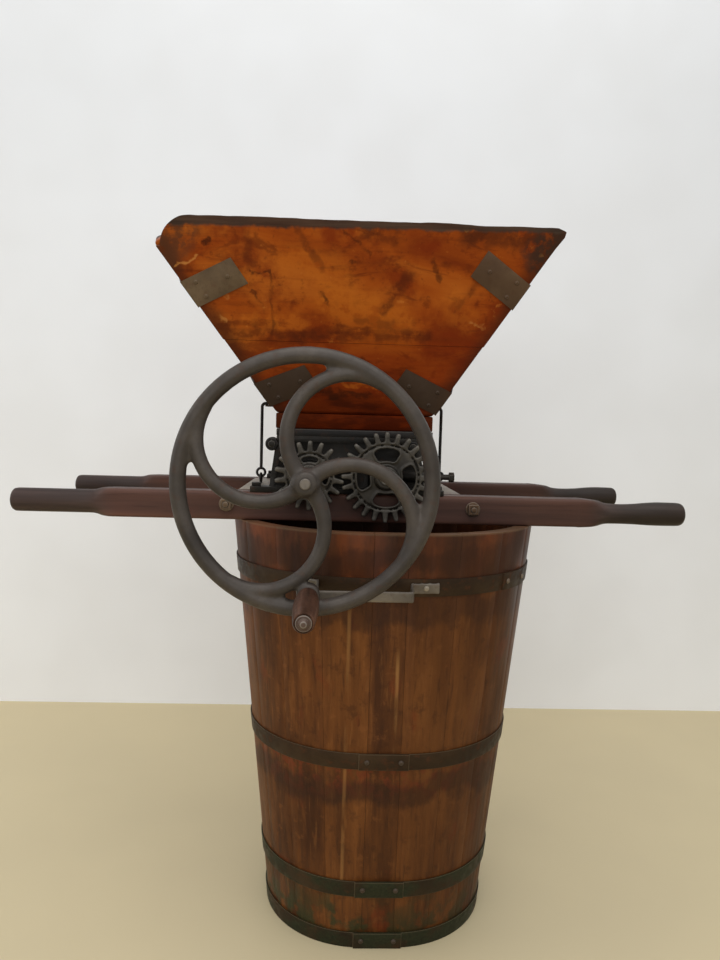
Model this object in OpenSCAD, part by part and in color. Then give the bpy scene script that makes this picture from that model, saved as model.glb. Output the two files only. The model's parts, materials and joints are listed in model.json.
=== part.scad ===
// Hand-cranked two-roller grape crusher with a wooden hopper, standing on its stave tub.
// Millimetres, +Z up. The origin is the middle of the tub's foot, +X to the right, +Y to the rear.

/* [Tub] */
// Height of the tub from floor to rim
tub_h = 740; // [650:1:850]
// Outer radius of the rounded ends at the rim
tub_r_top = 252; // [240:1:266]
// How much that radius shrinks from the rim to the floor
tub_taper = 76; // [60:1:100]
// Length of the straight stretch between the rounded ends
tub_straight = 56; // [20:1:120]
// Thickness of the staves
stave_t = 24; // [16:1:32]
// Number of staves round each end
end_staves = 9; // [6:1:12]
// Joint between neighbouring staves
stave_gap = 0.4; // [0.2:0.1:1]
// Height of the underside of the bottom boards
bottom_z = 45; // [30:1:80]
// Thickness of the bottom boards
bottom_t = 18; // [12:1:30]
// Number of bottom boards
bottom_boards = 3; // [2:1:5]
// Depth of the groove that holds the bottom boards
croze_depth = 5; // [3:0.5:8]

/* [Hoops] */
// Thickness of the hoop iron
hoop_t = 2.5; // [1.5:0.1:4]
// Height of a hoop
hoop_w = 29; // [20:1:40]
// Drop from the rim to the top edge of the top hoop
top_hoop_drop = 72; // [40:1:120]
// Height of the lower edge of the middle hoop
middle_hoop_z = 337; // [250:1:420]
// Height of the lower edge of the lower hoop
lower_hoop_z = 99; // [80:1:200]
// Height of the lower edge of the base hoop
base_hoop_z = 0; // [0:1:20]
// Length of the riveted lap of a hoop
lap_len = 84; // [70:1:110]
// Turn of the top hoop's lap from the front of the right-hand end
top_lap_turn = 52; // [35:1:80]

/* [Tub handles] */
// Length of the grip between its two bends
handle_span = 154; // [110:1:180]
// Clear room for the fingers behind the grip
handle_room = 26; // [24:1:30]
// Drop of the grip below its feet
handle_drop = 9; // [0:1:12]
// Width of the handle strap
handle_w = 18; // [12:1:24]
// Thickness of the handle strap
handle_t = 4; // [3:0.5:6]
// Length of a riveted foot
handle_foot = 44; // [30:1:54]
// Sideways place of the handle from the middle of the tub
handle_x = -42; // [-60:1:60]

/* [Carrying frame] */
// Sideways place of the crusher on the tub
crusher_x = -60; // [-80:1:80]
// Place of the crusher on the tub, front to rear
crusher_y = 71; // [60:1:75]
// Length of a beam over its grips
beam_len = 1196; // [1000:1:1400]
// Thickness of a beam, front to rear
beam_w = 46; // [40:1:60]
// Height of a beam
beam_h = 50; // [44:1:60]
// Distance between the middles of the two beams
beam_spacing = 330; // [320:1:345]
// Diameter of a turned grip
grip_d = 42; // [34:1:44]
// Length of a turned grip
grip_len = 140; // [100:1:180]
// Length over which the grip swells into the square beam
grip_shoulder = 44; // [20:1:80]
// Rounding of the end of a grip
grip_round = 9; // [4:1:16]
// Width of a crossbar
crossbar_w = 48; // [40:1:56]
// Height of a crossbar
crossbar_h = 46; // [36:1:50]
// Place of the middle of the left crossbar
left_crossbar_x = -182; // [-190:1:-178]
// Place of the middle of the right crossbar
right_crossbar_x = 172; // [168:1:190]
// Length of a crossbar tenon
tenon_len = 14; // [8:1:20]
// Height of a crossbar tenon
tenon_h = 26; // [18:1:30]
// Diameter of a tie bolt
tie_bolt_d = 10; // [8:1:12]
// Distance from a crossbar's outer side to its tie bolt
tie_bolt_out = 15; // [13:1:30]
// Width across a square tie nut
tie_nut_w = 18; // [15:1:24]
// Thickness of a tie nut
tie_nut_t = 9; // [6:1:12]

/* [Roller box] */
// Sideways place of the roller box from the middle of the beams
box_x = -11; // [-20:1:0]
// Height of the roller axes above the beams
axis_h = 32; // [30:1:40]
// Width of an end plate at its foot
plate_foot_w = 278; // [276:1:300]
// Width of an end plate at its top
plate_top_w = 252; // [250:1:260]
// Height of an end plate
plate_h = 99; // [97:1:120]
// Thickness of the web of an end plate
web_t = 8; // [6:1:10]
// Thickness of an end plate along its border
border_t = 14; // [12:1:20]
// Width of that border
border_w = 10; // [6:1:14]
// Length of the foot flange of an end plate
flange_len = 340; // [335:1:360]
// Width of the foot flange
flange_w = 44; // [40:1:46]
// Thickness of the foot flange
flange_t = 9; // [6:1:12]
// Diameter of a coach bolt
coach_d = 9; // [6:1:10]
// Width across the square head of a coach bolt
coach_head = 15; // [13:1:16]
// Diameter of a stay rod
stay_d = 12; // [8:1:14]
// Distance of the left stay rod, outside the side plate, from the middle of the box
stay_left = 134; // [134:1:140]
// Distance of the right stay rod, inside the side plate, from the middle of the box
stay_right = 114; // [106:1:116]
// Thickness of a side plate
side_t = 4; // [3:1:6]
// Thickness of the iron seat under the hopper
seat_t = 12.5; // [8:0.5:20]

/* [Rollers] */
// Diameter of both shafts
shaft_d = 24; // [18:1:26]
// Gap between the ribs of the two rollers at rest
roller_gap = 8; // [7.5:0.5:14]
// Height of a roller rib
rib_h = 8; // [4:1:12]
// Number of ribs on a roller
ribs = 14; // [8:1:20]
// How far the driven roller can be screwed in
gap_travel = 5; // [2:0.5:5]
// Width of a sliding bearing block
block_w = 48; // [40:1:52]
// Outer diameter of a drive bush
bush_d = 34; // [30:1:38]
// Outer diameter of the boss round a drive bush
boss_d = 52; // [46:1:58]
// Reach of the bearings to either side of the middle of the end plate
bearing_reach = 22; // [18:1:23]
// Diameter of an adjusting screw
screw_d = 10; // [8:1:12]
// Free length of an adjusting screw outside its lock nut
screw_free = 31; // [20:1:40]

/* [Gears] */
// Module of both gears
gear_module = 6; // [5.8:0.1:6.2]
// Teeth of the drive gear
drive_teeth = 18; // [16:1:20]
// Teeth of the driven gear
driven_teeth = 24; // [22:1:26]
// How far apart the gears stand beyond their pitch circles
mesh_ease = 6; // [5.5:0.5:7]
// Depth of the teeth below the pitch circle
tooth_foot = 11; // [8:0.5:12]
// Width of a gear rim
gear_w = 24; // [16:1:30]
// Length of a gear hub
gear_hub_len = 34; // [26:1:40]
// Diameter of a gear hub
gear_hub_d = 44; // [38:1:48]

/* [Flywheel] */
// Outer radius of the flywheel
flywheel_r = 203; // [195:0.5:215]
// Thickness of the round flywheel rim
rim_d = 26; // [20:1:30]
// Thickness of a curved spoke
spoke_d = 22; // [16:1:24]
// Diameter of the hub
hub_d = 46; // [44:1:60]
// Length of the hub
hub_len = 49; // [40:1:70]
// How far the hub stands in front of the middle of the flywheel
hub_proud = 19; // [14:1:30]
// Distance of the flywheel in front of the middle of the front beam
flywheel_reach = 213; // [208:1:230]
// Distance of the crank pin from the shaft
crank_r = 168; // [160:1:172]
// Diameter of the crank pin
pin_d = 12; // [10:1:14]
// Length of the crank grip
crank_grip_len = 148; // [120:1:170]
// Greatest diameter of the crank grip
crank_grip_d = 37; // [30:1:42]

/* [Hopper] */
// Height of the collar under the hopper
collar_h = 28; // [18:1:50]
// Thickness of the hopper boards
board_t = 18; // [14:1:22]
// Outer width of the hopper at its foot
hopper_foot_w = 284; // [276:1:290]
// Outer depth of the hopper at its foot
hopper_foot_d = 271; // [262:1:280]
// Outer width of the hopper at its mouth
hopper_mouth_w = 716; // [620:1:780]
// Outer depth of the hopper at its mouth
hopper_mouth_d = 500; // [430:1:570]
// How far the mouth stands to the left of the foot
mouth_shift = 14; // [0:1:20]
// Height of the sloping part of the hopper
hopper_h = 314; // [270:1:370]
// Width of the lower board of the front and rear panels, up the slope
lower_board = 130; // [90:1:180]
// Rounding worn into the upper left corner of the front panel
worn_corner = 52; // [20:1:70]
// How far that wear runs back along the left panel
worn_run = 165; // [100:1:200]
// Thickness of the corner straps
corner_t = 2; // [1:0.5:3]
// Width of a corner strap
corner_w = 50; // [30:1:60]
// Length of a corner strap on each panel
corner_len = 92; // [60:1:110]
// Place of the upper straps up the left and right corners
upper_corner_s = [250, 256]; // [200:1:330]
// Slant of the upper straps on the left and right corners
upper_slant = [-8, 4]; // [-15:1:15]
// Place of the lower straps up the left and right corners
lower_corner_s = [40, 30]; // [28:1:120]
// Slant of the lower straps on the left and right corners
lower_slant = [-12, -5]; // [-15:1:15]

/* [Hooks] */
// Diameter of the hook rod
hook_d = 6; // [5:0.5:8]
// Height of the hook's shelf above the foot of the hopper slope
shelf_up = 16; // [12:1:24]
// Thickness of the keeper iron
keeper_t = 3; // [2:0.5:4]
// Width of the keeper iron
keeper_w = 24; // [16:1:36]
// Place of the left hook
left_hook_x = -180; // [-184:1:-176]
// Place of the right hook
right_hook_x = 176; // [174:1:184]
// Radius of the eyes, to the middle of their wire
eye_r = 8; // [7:0.5:10]
// Thickness of the eye wire
eye_wire = 5; // [4:0.5:6]

/* [Fits] */
// Clearance of pieces that are seated on each other
seat_fit = 0.2; // [0.1:0.05:0.3]
// Radial clearance of running bearings
running_fit = 0.05; // [0.02:0.01:0.08]
// Clearance of pieces that slide on each other
slide_fit = 0.3; // [0.2:0.05:0.5]

/* [Hidden] */
$fn = 72;

// Shared small sizes: how far a cut runs past a face, walls round bores, how far a thread stands out
cut_over = 1;
boss_wall = 6;
nut_wall = 5;
thread_over = 3;
head_taper = 0.6;

// Tub: the outer radius of its rounded ends at a height, and the slope of its wall
tub_slope = atan(tub_taper / tub_h);
function tub_r(z) = tub_r_top - tub_taper * (1 - z / tub_h);
top_hoop_z = tub_h - top_hoop_drop - hoop_w;
hoop_out = seat_fit + hoop_t;
top_lap_angle = lap_len / tub_r_top * 180 / PI;
lap_inset = 13.5;
rivet_r = 5;
rivet_h = 2.5;
groove_r = tub_r(bottom_z) - stave_t + croze_depth;
end_step = 180 / end_staves;
gap_angle = stave_gap / tub_r_top * 180 / PI;
handle_z = top_hoop_z + hoop_w / 2;

// Carrying frame and roller box, in the crusher's own frame: its middle at rim height
beam_y = beam_spacing / 2;
turn_r = norm([beam_w, beam_h]) / 2 + cut_over;
shoulder_steps = 6;
round_step = 15;
axis_z = beam_h + axis_h;
plate_top_z = beam_h + plate_h;
seat_top_z = plate_top_z + seat_t;
bolt_z = 28;
washer_t = 2.5;
washer_r = 13;
coach_len = 34;
coach_head_t = 6;
coach_inset = 9;
coach_x = flange_len / 2 - coach_inset;
stay_places = [-stay_left, stay_right];
stay_drop = 15;
stay_z = plate_h - stay_drop;
stay_boss_r = stay_d / 2 + boss_wall;
nut_t = 8;
side_inset = 1;
seat_inset = 4;
bush_over = 1;

// Rollers, gears and bearings
pitch_r_drive = gear_module * drive_teeth / 2;
pitch_r_driven = gear_module * driven_teeth / 2;
axis_gap = pitch_r_drive + pitch_r_driven + mesh_ease;
drive_x = -axis_gap / 2;
driven_x = axis_gap / 2;
roller_r = (axis_gap - roller_gap) / 2;
roller_clear = 2.5;
roller_len = beam_spacing - 2 * (bearing_reach + roller_clear);
rib_foot_share = 0.32;
rib_top_share = 0.18;
shaft_r = shaft_d / 2;
bearing_r = shaft_r + running_fit;
gear_clear = 3;
gear_back = -beam_y - beam_w / 2 - gear_clear;
gear_rim = 8;
web_recess = 6;
window_margin = 2.5;
window_angle = 60;
shaft_over = 7;
shaft_rear = beam_y + bearing_reach + shaft_over;
key_w = 6;
key_inset = 3;
cheek_t = 5;
cheek_over = 6;
block_clear = 3;
block_h = 2 * (axis_h - flange_t - block_clear);
block_rim = 7;
boss_over = 3;
boss_end_x = plate_foot_w / 2 + boss_over;
screw_out_x = boss_end_x + seat_fit + nut_t + screw_free;
screw_boss_r = screw_d / 2 + boss_wall;
screw_head_t = 9;
screw_head_r = 9;
screw_seat = 6;

// Flywheel and crank
flywheel_y = -beam_y - flywheel_reach;
rim_r = flywheel_r - rim_d / 2;
spoke_count = 4;
spoke_phase = -43.5;
spoke_arc = 160;
spoke_web_t = 11;
spoke_web_from = 12;
spoke_web_to = 41;
spoke_web_steps = 4;
spoke_web_round = 9;
crank_angle = -87.5;
crank_boss_r = 18;
crank_boss_t = 24;
pin_collar_t = 6;
pin_collar_r = 11;
pin_head_r = 8;
pin_head_t = 4;
pin_dome_t = 5;
grip_waist = 0.8;
barrel_skew = 0.8;
barrel_steps = 8;
crank_washer_r = 11;
crank_washer_t = 2.5;
grip_rear_y = flywheel_y - crank_boss_t / 2 - pin_collar_t - slide_fit;
grip_front_y = grip_rear_y - crank_grip_len;
crank_x = drive_x + crank_r * cos(crank_angle);
crank_z = axis_z + crank_r * sin(crank_angle);

// Hopper
slope_z = seat_top_z + collar_h;
front_out = (hopper_mouth_d - hopper_foot_d) / 2;
left_out = (hopper_mouth_w - hopper_foot_w) / 2 + mouth_shift;
right_out = (hopper_mouth_w - hopper_foot_w) / 2 - mouth_shift;
front_lean = atan(front_out / hopper_h);
front_slant = norm([front_out, hopper_h]);
board_seam = 0.6;
nail_r = 4;
nail_h = 1.5;
worn_share = 1.82;
worn_fall = worn_corner * 1.2;

// A side of the hopper by how far it leans out: its lean, its slope length, and the skew of its corners
function side_lean(out) = atan(out / hopper_h);
function side_slant(out) = norm([out, hopper_h]);
function front_skew(out) = atan(out / front_slant);
function side_skew(out) = atan(front_out / side_slant(out));

// Nails of a strap leaf, as shares of its length and width
nail_spots = [[0.22, -0.28], [0.22, 0.28], [0.76, 0]];

// Hooks
shelf_z = slope_z + shelf_up;
eye_clear = 1;
eye_z = beam_h + eye_r + eye_wire / 2 + eye_clear;
hook_eye_z = eye_z + 2 * eye_r - eye_wire - seat_fit;
hook_bend = 7;
hook_tip_z = shelf_z + seat_fit + hook_d / 2;
hook_tip_len = 5;
eye_screw_len = 24;
keeper_foot = 3;
keeper_rise = 22;

// Colours
stave_colour = [0.36, 0.22, 0.13];
hoop_colour = [0.27, 0.26, 0.22];
beam_colour = [0.37, 0.25, 0.21];
hopper_colour = [0.58, 0.31, 0.12];
iron_colour = [0.37, 0.36, 0.33];
gear_colour = [0.30, 0.29, 0.27];
strap_colour = [0.30, 0.27, 0.21];
steel_colour = [0.52, 0.51, 0.49];
bronze_colour = [0.55, 0.40, 0.20];
grip_colour = [0.36, 0.23, 0.14];

// Shared shapes

// Stands a flat front view up: its y becomes z, and it runs from y0 back to y1
module front_view(y0, y1) {
    translate([0, y1, 0]) rotate([90, 0, 0]) linear_extrude(y1 - y0) children();
}

module rod_y(x, z, y0, y1, r) {
    translate([x, y1, z]) rotate([90, 0, 0]) cylinder(r = r, h = y1 - y0);
}

module rod_x(y, z, x0, x1, r) {
    translate([x0, y, z]) rotate([0, 90, 0]) cylinder(r = r, h = x1 - x0);
}

module both_sides() {
    children();
    mirror([1, 0, 0]) children();
}

module both_ends() {
    children();
    mirror([0, 1, 0]) children();
}

module on_tub() {
    translate([crusher_x, crusher_y, tub_h + seat_fit]) children();
}

// The roller box and all that turns in it stand beside the middle of the beams
module on_box() {
    on_tub() translate([box_x, 0, 0]) children();
}

// Rim of the tub in plan at a radius: where its front lies, and which way it faces there
function round_x(x) = max(abs(x) - tub_straight / 2, 0);
function face_y(x, r) = -sqrt(r * r - pow(round_x(x), 2));
function face_turn(x, r) = sign(x) * asin(round_x(x) / r);

// Lays something on the front of the tub at a place and height, its -Y side outward
module on_tub_front(x, z, lift) {
    r = tub_r(z) + lift;
    translate([x, face_y(x, r), z]) rotate([0, 0, face_turn(x, r)]) rotate([tub_slope, 0, 0]) children();
}

// Upright wall section between two heights, as radii and heights
function wall_section(z0, z1, inner, outer) = [
    [tub_r(z0) + inner, z0], [tub_r(z0) + outer, z0], [tub_r(z1) + outer, z1], [tub_r(z1) + inner, z1]];

// Section of a stave, with the groove for the bottom boards
function stave_section() = [
    [tub_r(0), 0], [tub_r(tub_h), tub_h], [tub_r(tub_h) - stave_t, tub_h],
    [tub_r(bottom_z + bottom_t) - stave_t, bottom_z + bottom_t + seat_fit],
    [groove_r, bottom_z + bottom_t + seat_fit], [groove_r, bottom_z - seat_fit],
    [tub_r(bottom_z) - stave_t, bottom_z - seat_fit], [tub_r(0) - stave_t, 0]];

// Runs a wall section along the straight stretch of the front
module front_run(section, length) {
    translate([-length / 2, 0, 0]) rotate([90, 0, 90])
        linear_extrude(length) polygon([for (p = section) [-p[0], p[1]]]);
}

// Turns a wall section round the right-hand end
module end_run(section, from, angle) {
    translate([tub_straight / 2, 0, 0]) rotate([0, 0, from])
        rotate_extrude(angle = angle) polygon(section);
}

// Tub

module front_stave() {
    color(stave_colour) front_run(stave_section(), tub_straight - stave_gap);
}

module rear_stave() {
    color(stave_colour) mirror([0, 1, 0]) front_run(stave_section(), tub_straight - stave_gap);
}

module end_stave_row() {
    for (i = [0 : end_staves - 1])
        end_run(stave_section(), -90 + i * end_step + gap_angle / 2, end_step - gap_angle);
}

module left_staves() {
    color(stave_colour) mirror([1, 0, 0]) end_stave_row();
}

module right_staves() {
    color(stave_colour) end_stave_row();
}

module tub_bottom() {
    r = groove_r - seat_fit;
    width = 2 * r / bottom_boards;
    color(stave_colour) for (i = [0 : bottom_boards - 1])
        intersection() {
            translate([0, 0, bottom_z]) union() {
                translate([-tub_straight / 2, -r, 0]) cube([tub_straight, 2 * r, bottom_t]);
                both_sides() translate([tub_straight / 2, 0, 0]) cylinder(r = r, h = bottom_t);
            }
            translate([-2 * r, -r + i * width + stave_gap / 2, 0])
                cube([4 * r, width - stave_gap, tub_h]);
        }
}

// The band of a hoop at a height, with its riveted lap as children
module hoop(z) {
    section = wall_section(z, z + hoop_w, seat_fit, hoop_out);
    color(hoop_colour) union() {
        both_ends() front_run(section, tub_straight);
        both_sides() end_run(section, -90, 180);
        children();
    }
}

function lap_section(z) = wall_section(z, z + hoop_w, hoop_out - hoop_t / 2, hoop_out + hoop_t);

module front_lap_hoop(z) {
    hoop(z) front_run(lap_section(z), lap_len);
}

module top_hoop() {
    hoop(top_hoop_z)
        end_run(lap_section(top_hoop_z), -90 + top_lap_turn - top_lap_angle / 2, top_lap_angle);
}

module middle_hoop() {
    front_lap_hoop(middle_hoop_z);
}

module lower_hoop() {
    front_lap_hoop(lower_hoop_z);
}

module base_hoop() {
    front_lap_hoop(base_hoop_z);
}

module rivet() {
    rotate([90, 0, 0]) cylinder(r1 = rivet_r, r2 = rivet_r * head_taper, h = rivet_h);
}

// Lays something on the foot at the left (-1) or right (1) end of a handle
module on_handle_foot(end, lift) {
    on_tub_front(handle_x + end * (handle_span + handle_foot) / 2, handle_z, hoop_out + seat_fit + lift)
        children();
}

module tub_rivets() {
    color(hoop_colour) {
        for (z = [middle_hoop_z, lower_hoop_z, base_hoop_z], end = [-1, 1])
            translate([end * (lap_len / 2 - lap_inset), 0, 0])
                on_tub_front(0, z + hoop_w / 2, hoop_out + hoop_t + seat_fit) rivet();
        for (end = [-1, 1])
            translate([tub_straight / 2, 0, 0])
                rotate([0, 0, top_lap_turn + end * top_lap_angle * (0.5 - lap_inset / lap_len)])
                    translate([-tub_straight / 2, 0, 0])
                        on_tub_front(tub_straight / 2, handle_z, hoop_out + hoop_t + seat_fit) rivet();
        both_ends() for (end = [-1, 1]) on_handle_foot(end, handle_t + seat_fit) rivet();
    }
}

module strap_handle() {
    r = tub_r(handle_z) + hoop_out;
    grip_y = -r - handle_room - handle_t;
    low = -handle_w / 2;
    high = handle_w / 2;
    color(strap_colour) union() {
        translate([handle_x - handle_span / 2, grip_y, handle_z + low - handle_drop])
            cube([handle_span, handle_t, handle_w]);
        for (end = [-1, 1]) {
            leg_x = handle_x + end * (handle_span - handle_t) / 2;
            leg_end = face_y(leg_x, r) - hoop_t;
            translate([leg_x - handle_t / 2, 0, handle_z]) rotate([90, 0, 90]) linear_extrude(handle_t)
                polygon([[grip_y, low - handle_drop], [leg_end, low],
                    [leg_end, high], [grip_y, high - handle_drop]]);
            on_handle_foot(end, 0)
                translate([-handle_foot / 2 - (end > 0 ? handle_t : 0), -handle_t, low])
                    cube([handle_foot + handle_t, handle_t, handle_w]);
        }
    }
}

module front_tub_handle() {
    strap_handle();
}

module rear_tub_handle() {
    mirror([0, 1, 0]) strap_handle();
}

// Carrying frame

// Half of the turned outline of a beam: radius against distance from the middle
function turned_half() = concat(
    [for (i = [0 : shoulder_steps]) let (t = i / shoulder_steps)
        [grip_d / 2 + (turn_r - grip_d / 2) * (1 + cos(180 * t)) / 2,
         beam_len / 2 - grip_len - grip_shoulder * (1 - t)]],
    [for (a = [0 : round_step : 90 - round_step])
        [grip_d / 2 - grip_round * (1 - cos(a)), beam_len / 2 - grip_round * (1 - sin(a))]],
    [[grip_d / 2 - grip_round, beam_len / 2], [0, beam_len / 2]]);

module turned_bar() {
    half = turned_half();
    last = len(half) - 1;
    rotate([0, 90, 0]) rotate_extrude()
        polygon(concat([for (i = [last : -1 : 0]) [half[i][0], -half[i][1]]], half));
}

function bolt_places() = [left_crossbar_x - crossbar_w / 2 - tie_bolt_out,
    right_crossbar_x + crossbar_w / 2 + tie_bolt_out];

// A beam along X, with its inner side towards +Y
module beam() {
    color(beam_colour) difference() {
        intersection() {
            translate([-beam_len / 2, -beam_w / 2, 0]) cube([beam_len, beam_w, beam_h]);
            translate([0, 0, beam_h / 2]) turned_bar();
        }
        for (x = bolt_places())
            rod_y(x, bolt_z, -beam_w, beam_w, tie_bolt_d / 2 + seat_fit);
        for (x = [left_crossbar_x, right_crossbar_x])
            translate([x, beam_w - tenon_len - seat_fit, tenon_z() + tenon_h / 2])
                cube([crossbar_w + 2 * seat_fit, beam_w, tenon_h + 2 * seat_fit], center = true);
        for (x = [-coach_x, coach_x])
            translate([box_x + x, 0, beam_h - coach_len - seat_fit])
                cylinder(d = coach_d + 2 * seat_fit, h = coach_len + beam_h);
    }
}

function tenon_z() = beam_h - crossbar_h / 2 - tenon_h / 2;

module front_beam() {
    on_tub() translate([0, -beam_y, 0]) beam();
}

module rear_beam() {
    on_tub() mirror([0, 1, 0]) translate([0, -beam_y, 0]) beam();
}

module crossbar(x, hook_x) {
    length = beam_spacing - beam_w - 2 * seat_fit;
    tenon = length + 2 * tenon_len;
    color(beam_colour) on_tub() difference() {
        union() {
            translate([x - crossbar_w / 2, -length / 2, beam_h - crossbar_h])
                cube([crossbar_w, length, crossbar_h]);
            translate([x - crossbar_w / 2, -tenon / 2, tenon_z()]) cube([crossbar_w, tenon, tenon_h]);
        }
        translate([hook_x, 0, beam_h - eye_screw_len - seat_fit])
            cylinder(d = eye_wire + 2 * seat_fit, h = crossbar_h);
    }
}

module left_crossbar() {
    crossbar(left_crossbar_x, left_hook_x);
}

module right_crossbar() {
    crossbar(right_crossbar_x, right_hook_x);
}

tie_face = beam_y + beam_w / 2;

module tie_bolts() {
    nut_face = tie_face + 2 * seat_fit + washer_t;
    color(iron_colour) on_tub() for (x = bolt_places()) union() {
        rod_y(x, bolt_z, -nut_face - tie_nut_t - thread_over, nut_face + tie_nut_t / 2, tie_bolt_d / 2);
        rod_y(x, bolt_z, nut_face, nut_face + tie_nut_t, tie_nut_w / 2);
    }
}

module tie_nuts() {
    color(iron_colour) on_tub() for (x = bolt_places()) difference() {
        translate([x, -tie_face - 2 * seat_fit - washer_t - tie_nut_t / 2, bolt_z])
            cube([tie_nut_w, tie_nut_t, tie_nut_w], center = true);
        rod_y(x, bolt_z, -2 * tie_face, 0, tie_bolt_d / 2 + seat_fit);
    }
}

module tie_washers() {
    color(iron_colour) on_tub() both_ends() for (x = bolt_places()) difference() {
        rod_y(x, bolt_z, -tie_face - seat_fit - washer_t, -tie_face - seat_fit, washer_r);
        rod_y(x, bolt_z, -2 * tie_face, 0, tie_bolt_d / 2 + seat_fit);
    }
}

// Roller box

function plate_outline(inset) = [
    [-plate_foot_w / 2 + inset, inset], [plate_foot_w / 2 - inset, inset],
    [plate_top_w / 2 - inset, plate_h - inset], [-plate_top_w / 2 + inset, plate_h - inset]];

// Opening of the sliding bearing block, grown by a margin
module block_window(grow, thick) {
    left = driven_x - block_w / 2 - gap_travel - slide_fit - grow;
    right = driven_x + block_w / 2 + slide_fit + grow;
    translate([left, -thick / 2, axis_h - block_h / 2 - slide_fit - grow])
        cube([right - left, thick, block_h + 2 * slide_fit + 2 * grow]);
}

// Front end plate in its own frame: its middle plane at y 0, its foot at z 0
module end_plate() {
    color(iron_colour) difference() {
        union() {
            front_view(-web_t / 2, web_t / 2) polygon(plate_outline(0));
            difference() {
                front_view(-border_t / 2, border_t / 2) polygon(plate_outline(0));
                front_view(-border_t, border_t) polygon(plate_outline(border_w));
            }
            translate([-flange_len / 2, -flange_w / 2, 0]) cube([flange_len, flange_w, flange_t]);
            rod_y(drive_x, axis_h, -bearing_reach, bearing_reach, boss_d / 2);
            block_window(block_rim, border_t);
            rod_x(0, axis_h, driven_x + block_w / 2, boss_end_x, screw_boss_r);
            for (x = stay_places) rod_y(x, stay_z, -border_t / 2, border_t / 2, stay_boss_r);
        }
        rod_y(drive_x, axis_h, -2 * bearing_reach, 2 * bearing_reach, bush_d / 2 + seat_fit);
        block_window(0, flange_w);
        rod_x(0, axis_h, driven_x, boss_end_x + cut_over, screw_d / 2 + slide_fit);
        for (x = stay_places) rod_y(x, stay_z, -border_t, border_t, stay_d / 2 + seat_fit);
        for (x = [-coach_x, coach_x])
            translate([x, 0, -cut_over]) cylinder(d = coach_d + 2 * seat_fit, h = flange_t + 2 * cut_over);
    }
}

module on_front_plate() {
    on_box() translate([0, -beam_y, beam_h]) children();
}

module on_rear_plate() {
    on_box() translate([0, beam_y, beam_h]) mirror([0, 1, 0]) children();
}

module on_plates() {
    on_front_plate() children();
    on_rear_plate() children();
}

module front_end_plate() {
    on_front_plate() end_plate();
}

module rear_end_plate() {
    on_rear_plate() end_plate();
}

module coach_bolts() {
    color(steel_colour) on_plates() for (x = [-coach_x, coach_x])
        translate([x, 0, 0]) union() {
            translate([0, 0, -coach_len])
                cylinder(d = coach_d, h = coach_len + flange_t + coach_head_t / 2);
            translate([-coach_head / 2, -coach_head / 2, flange_t + seat_fit])
                cube([coach_head, coach_head, coach_head_t]);
        }
}

side_top_x = plate_top_w / 2 - side_t - side_inset;

// A side plate leans with the edges of the end plates
module side_plate() {
    length = beam_spacing - border_t - 2 * seat_fit;
    foot_x = plate_foot_w / 2 - side_t - side_inset;
    color(iron_colour) on_box() translate([0, 0, beam_h]) difference() {
        front_view(-length / 2, length / 2) polygon([[foot_x, seat_fit], [foot_x + side_t, seat_fit],
            [side_top_x + side_t, plate_h - seat_fit], [side_top_x, plate_h - seat_fit]]);
        both_ends() translate([0, -beam_y, 0]) {
            translate([0, -flange_w / 2, -cut_over])
                cube([flange_len, flange_w + seat_fit, flange_t + cut_over + seat_fit]);
            rod_x(0, axis_h, 0, flange_len, screw_boss_r + seat_fit);
        }
    }
}

module left_side_plate() {
    translate([2 * (crusher_x + box_x), 0, 0]) mirror([1, 0, 0]) side_plate();
}

module right_side_plate() {
    side_plate();
}

stay_face = beam_y + border_t / 2;

module stay_rods() {
    reach = stay_face + seat_fit + nut_t + thread_over;
    color(steel_colour) on_box() for (x = stay_places)
        rod_y(x, beam_h + stay_z, -reach, reach, stay_d / 2);
}

module stay_nuts() {
    color(iron_colour) on_box() both_ends() for (x = stay_places) difference() {
        translate([x, -stay_face - seat_fit, beam_h + stay_z])
            rotate([90, 0, 0]) cylinder(r = stay_d / 2 + nut_wall, h = nut_t, $fn = 6);
        rod_y(x, beam_h + stay_z, -2 * stay_face, 0, stay_d / 2 + seat_fit);
    }
}

module drive_bushes() {
    color(bronze_colour) on_plates() difference() {
        rod_y(drive_x, axis_h, -bearing_reach - bush_over, bearing_reach + bush_over, bush_d / 2);
        rod_y(drive_x, axis_h, -2 * bearing_reach, 2 * bearing_reach, bearing_r);
    }
}

module lock_nuts() {
    color(steel_colour) on_plates() difference() {
        translate([boss_end_x + seat_fit, 0, axis_h]) rotate([0, 90, 0])
            cylinder(r = screw_d / 2 + nut_wall, h = nut_t, $fn = 6);
        rod_x(0, axis_h, boss_end_x - cut_over, boss_end_x + 2 * nut_t, screw_d / 2 + slide_fit);
    }
}

// Hopper

// The seat lies under the foot of the hopper, and its throat lies inside both hopper and box
module hopper_seat() {
    width = hopper_foot_w - 2 * seat_inset;
    throat_left = max(board_t - hopper_foot_w / 2, box_x - side_top_x);
    throat_right = min(hopper_foot_w / 2 - board_t, box_x + side_top_x);
    throat_d = hopper_foot_d - 2 * board_t;
    depth = beam_spacing + border_t;
    color(gear_colour) on_tub() translate([0, 0, plate_top_z + seat_fit]) difference() {
        translate([-width / 2, -depth / 2, 0]) cube([width, depth, seat_t - seat_fit]);
        translate([throat_left, -throat_d / 2, -cut_over])
            cube([throat_right - throat_left, throat_d, seat_t + 2 * cut_over]);
    }
}

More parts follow.
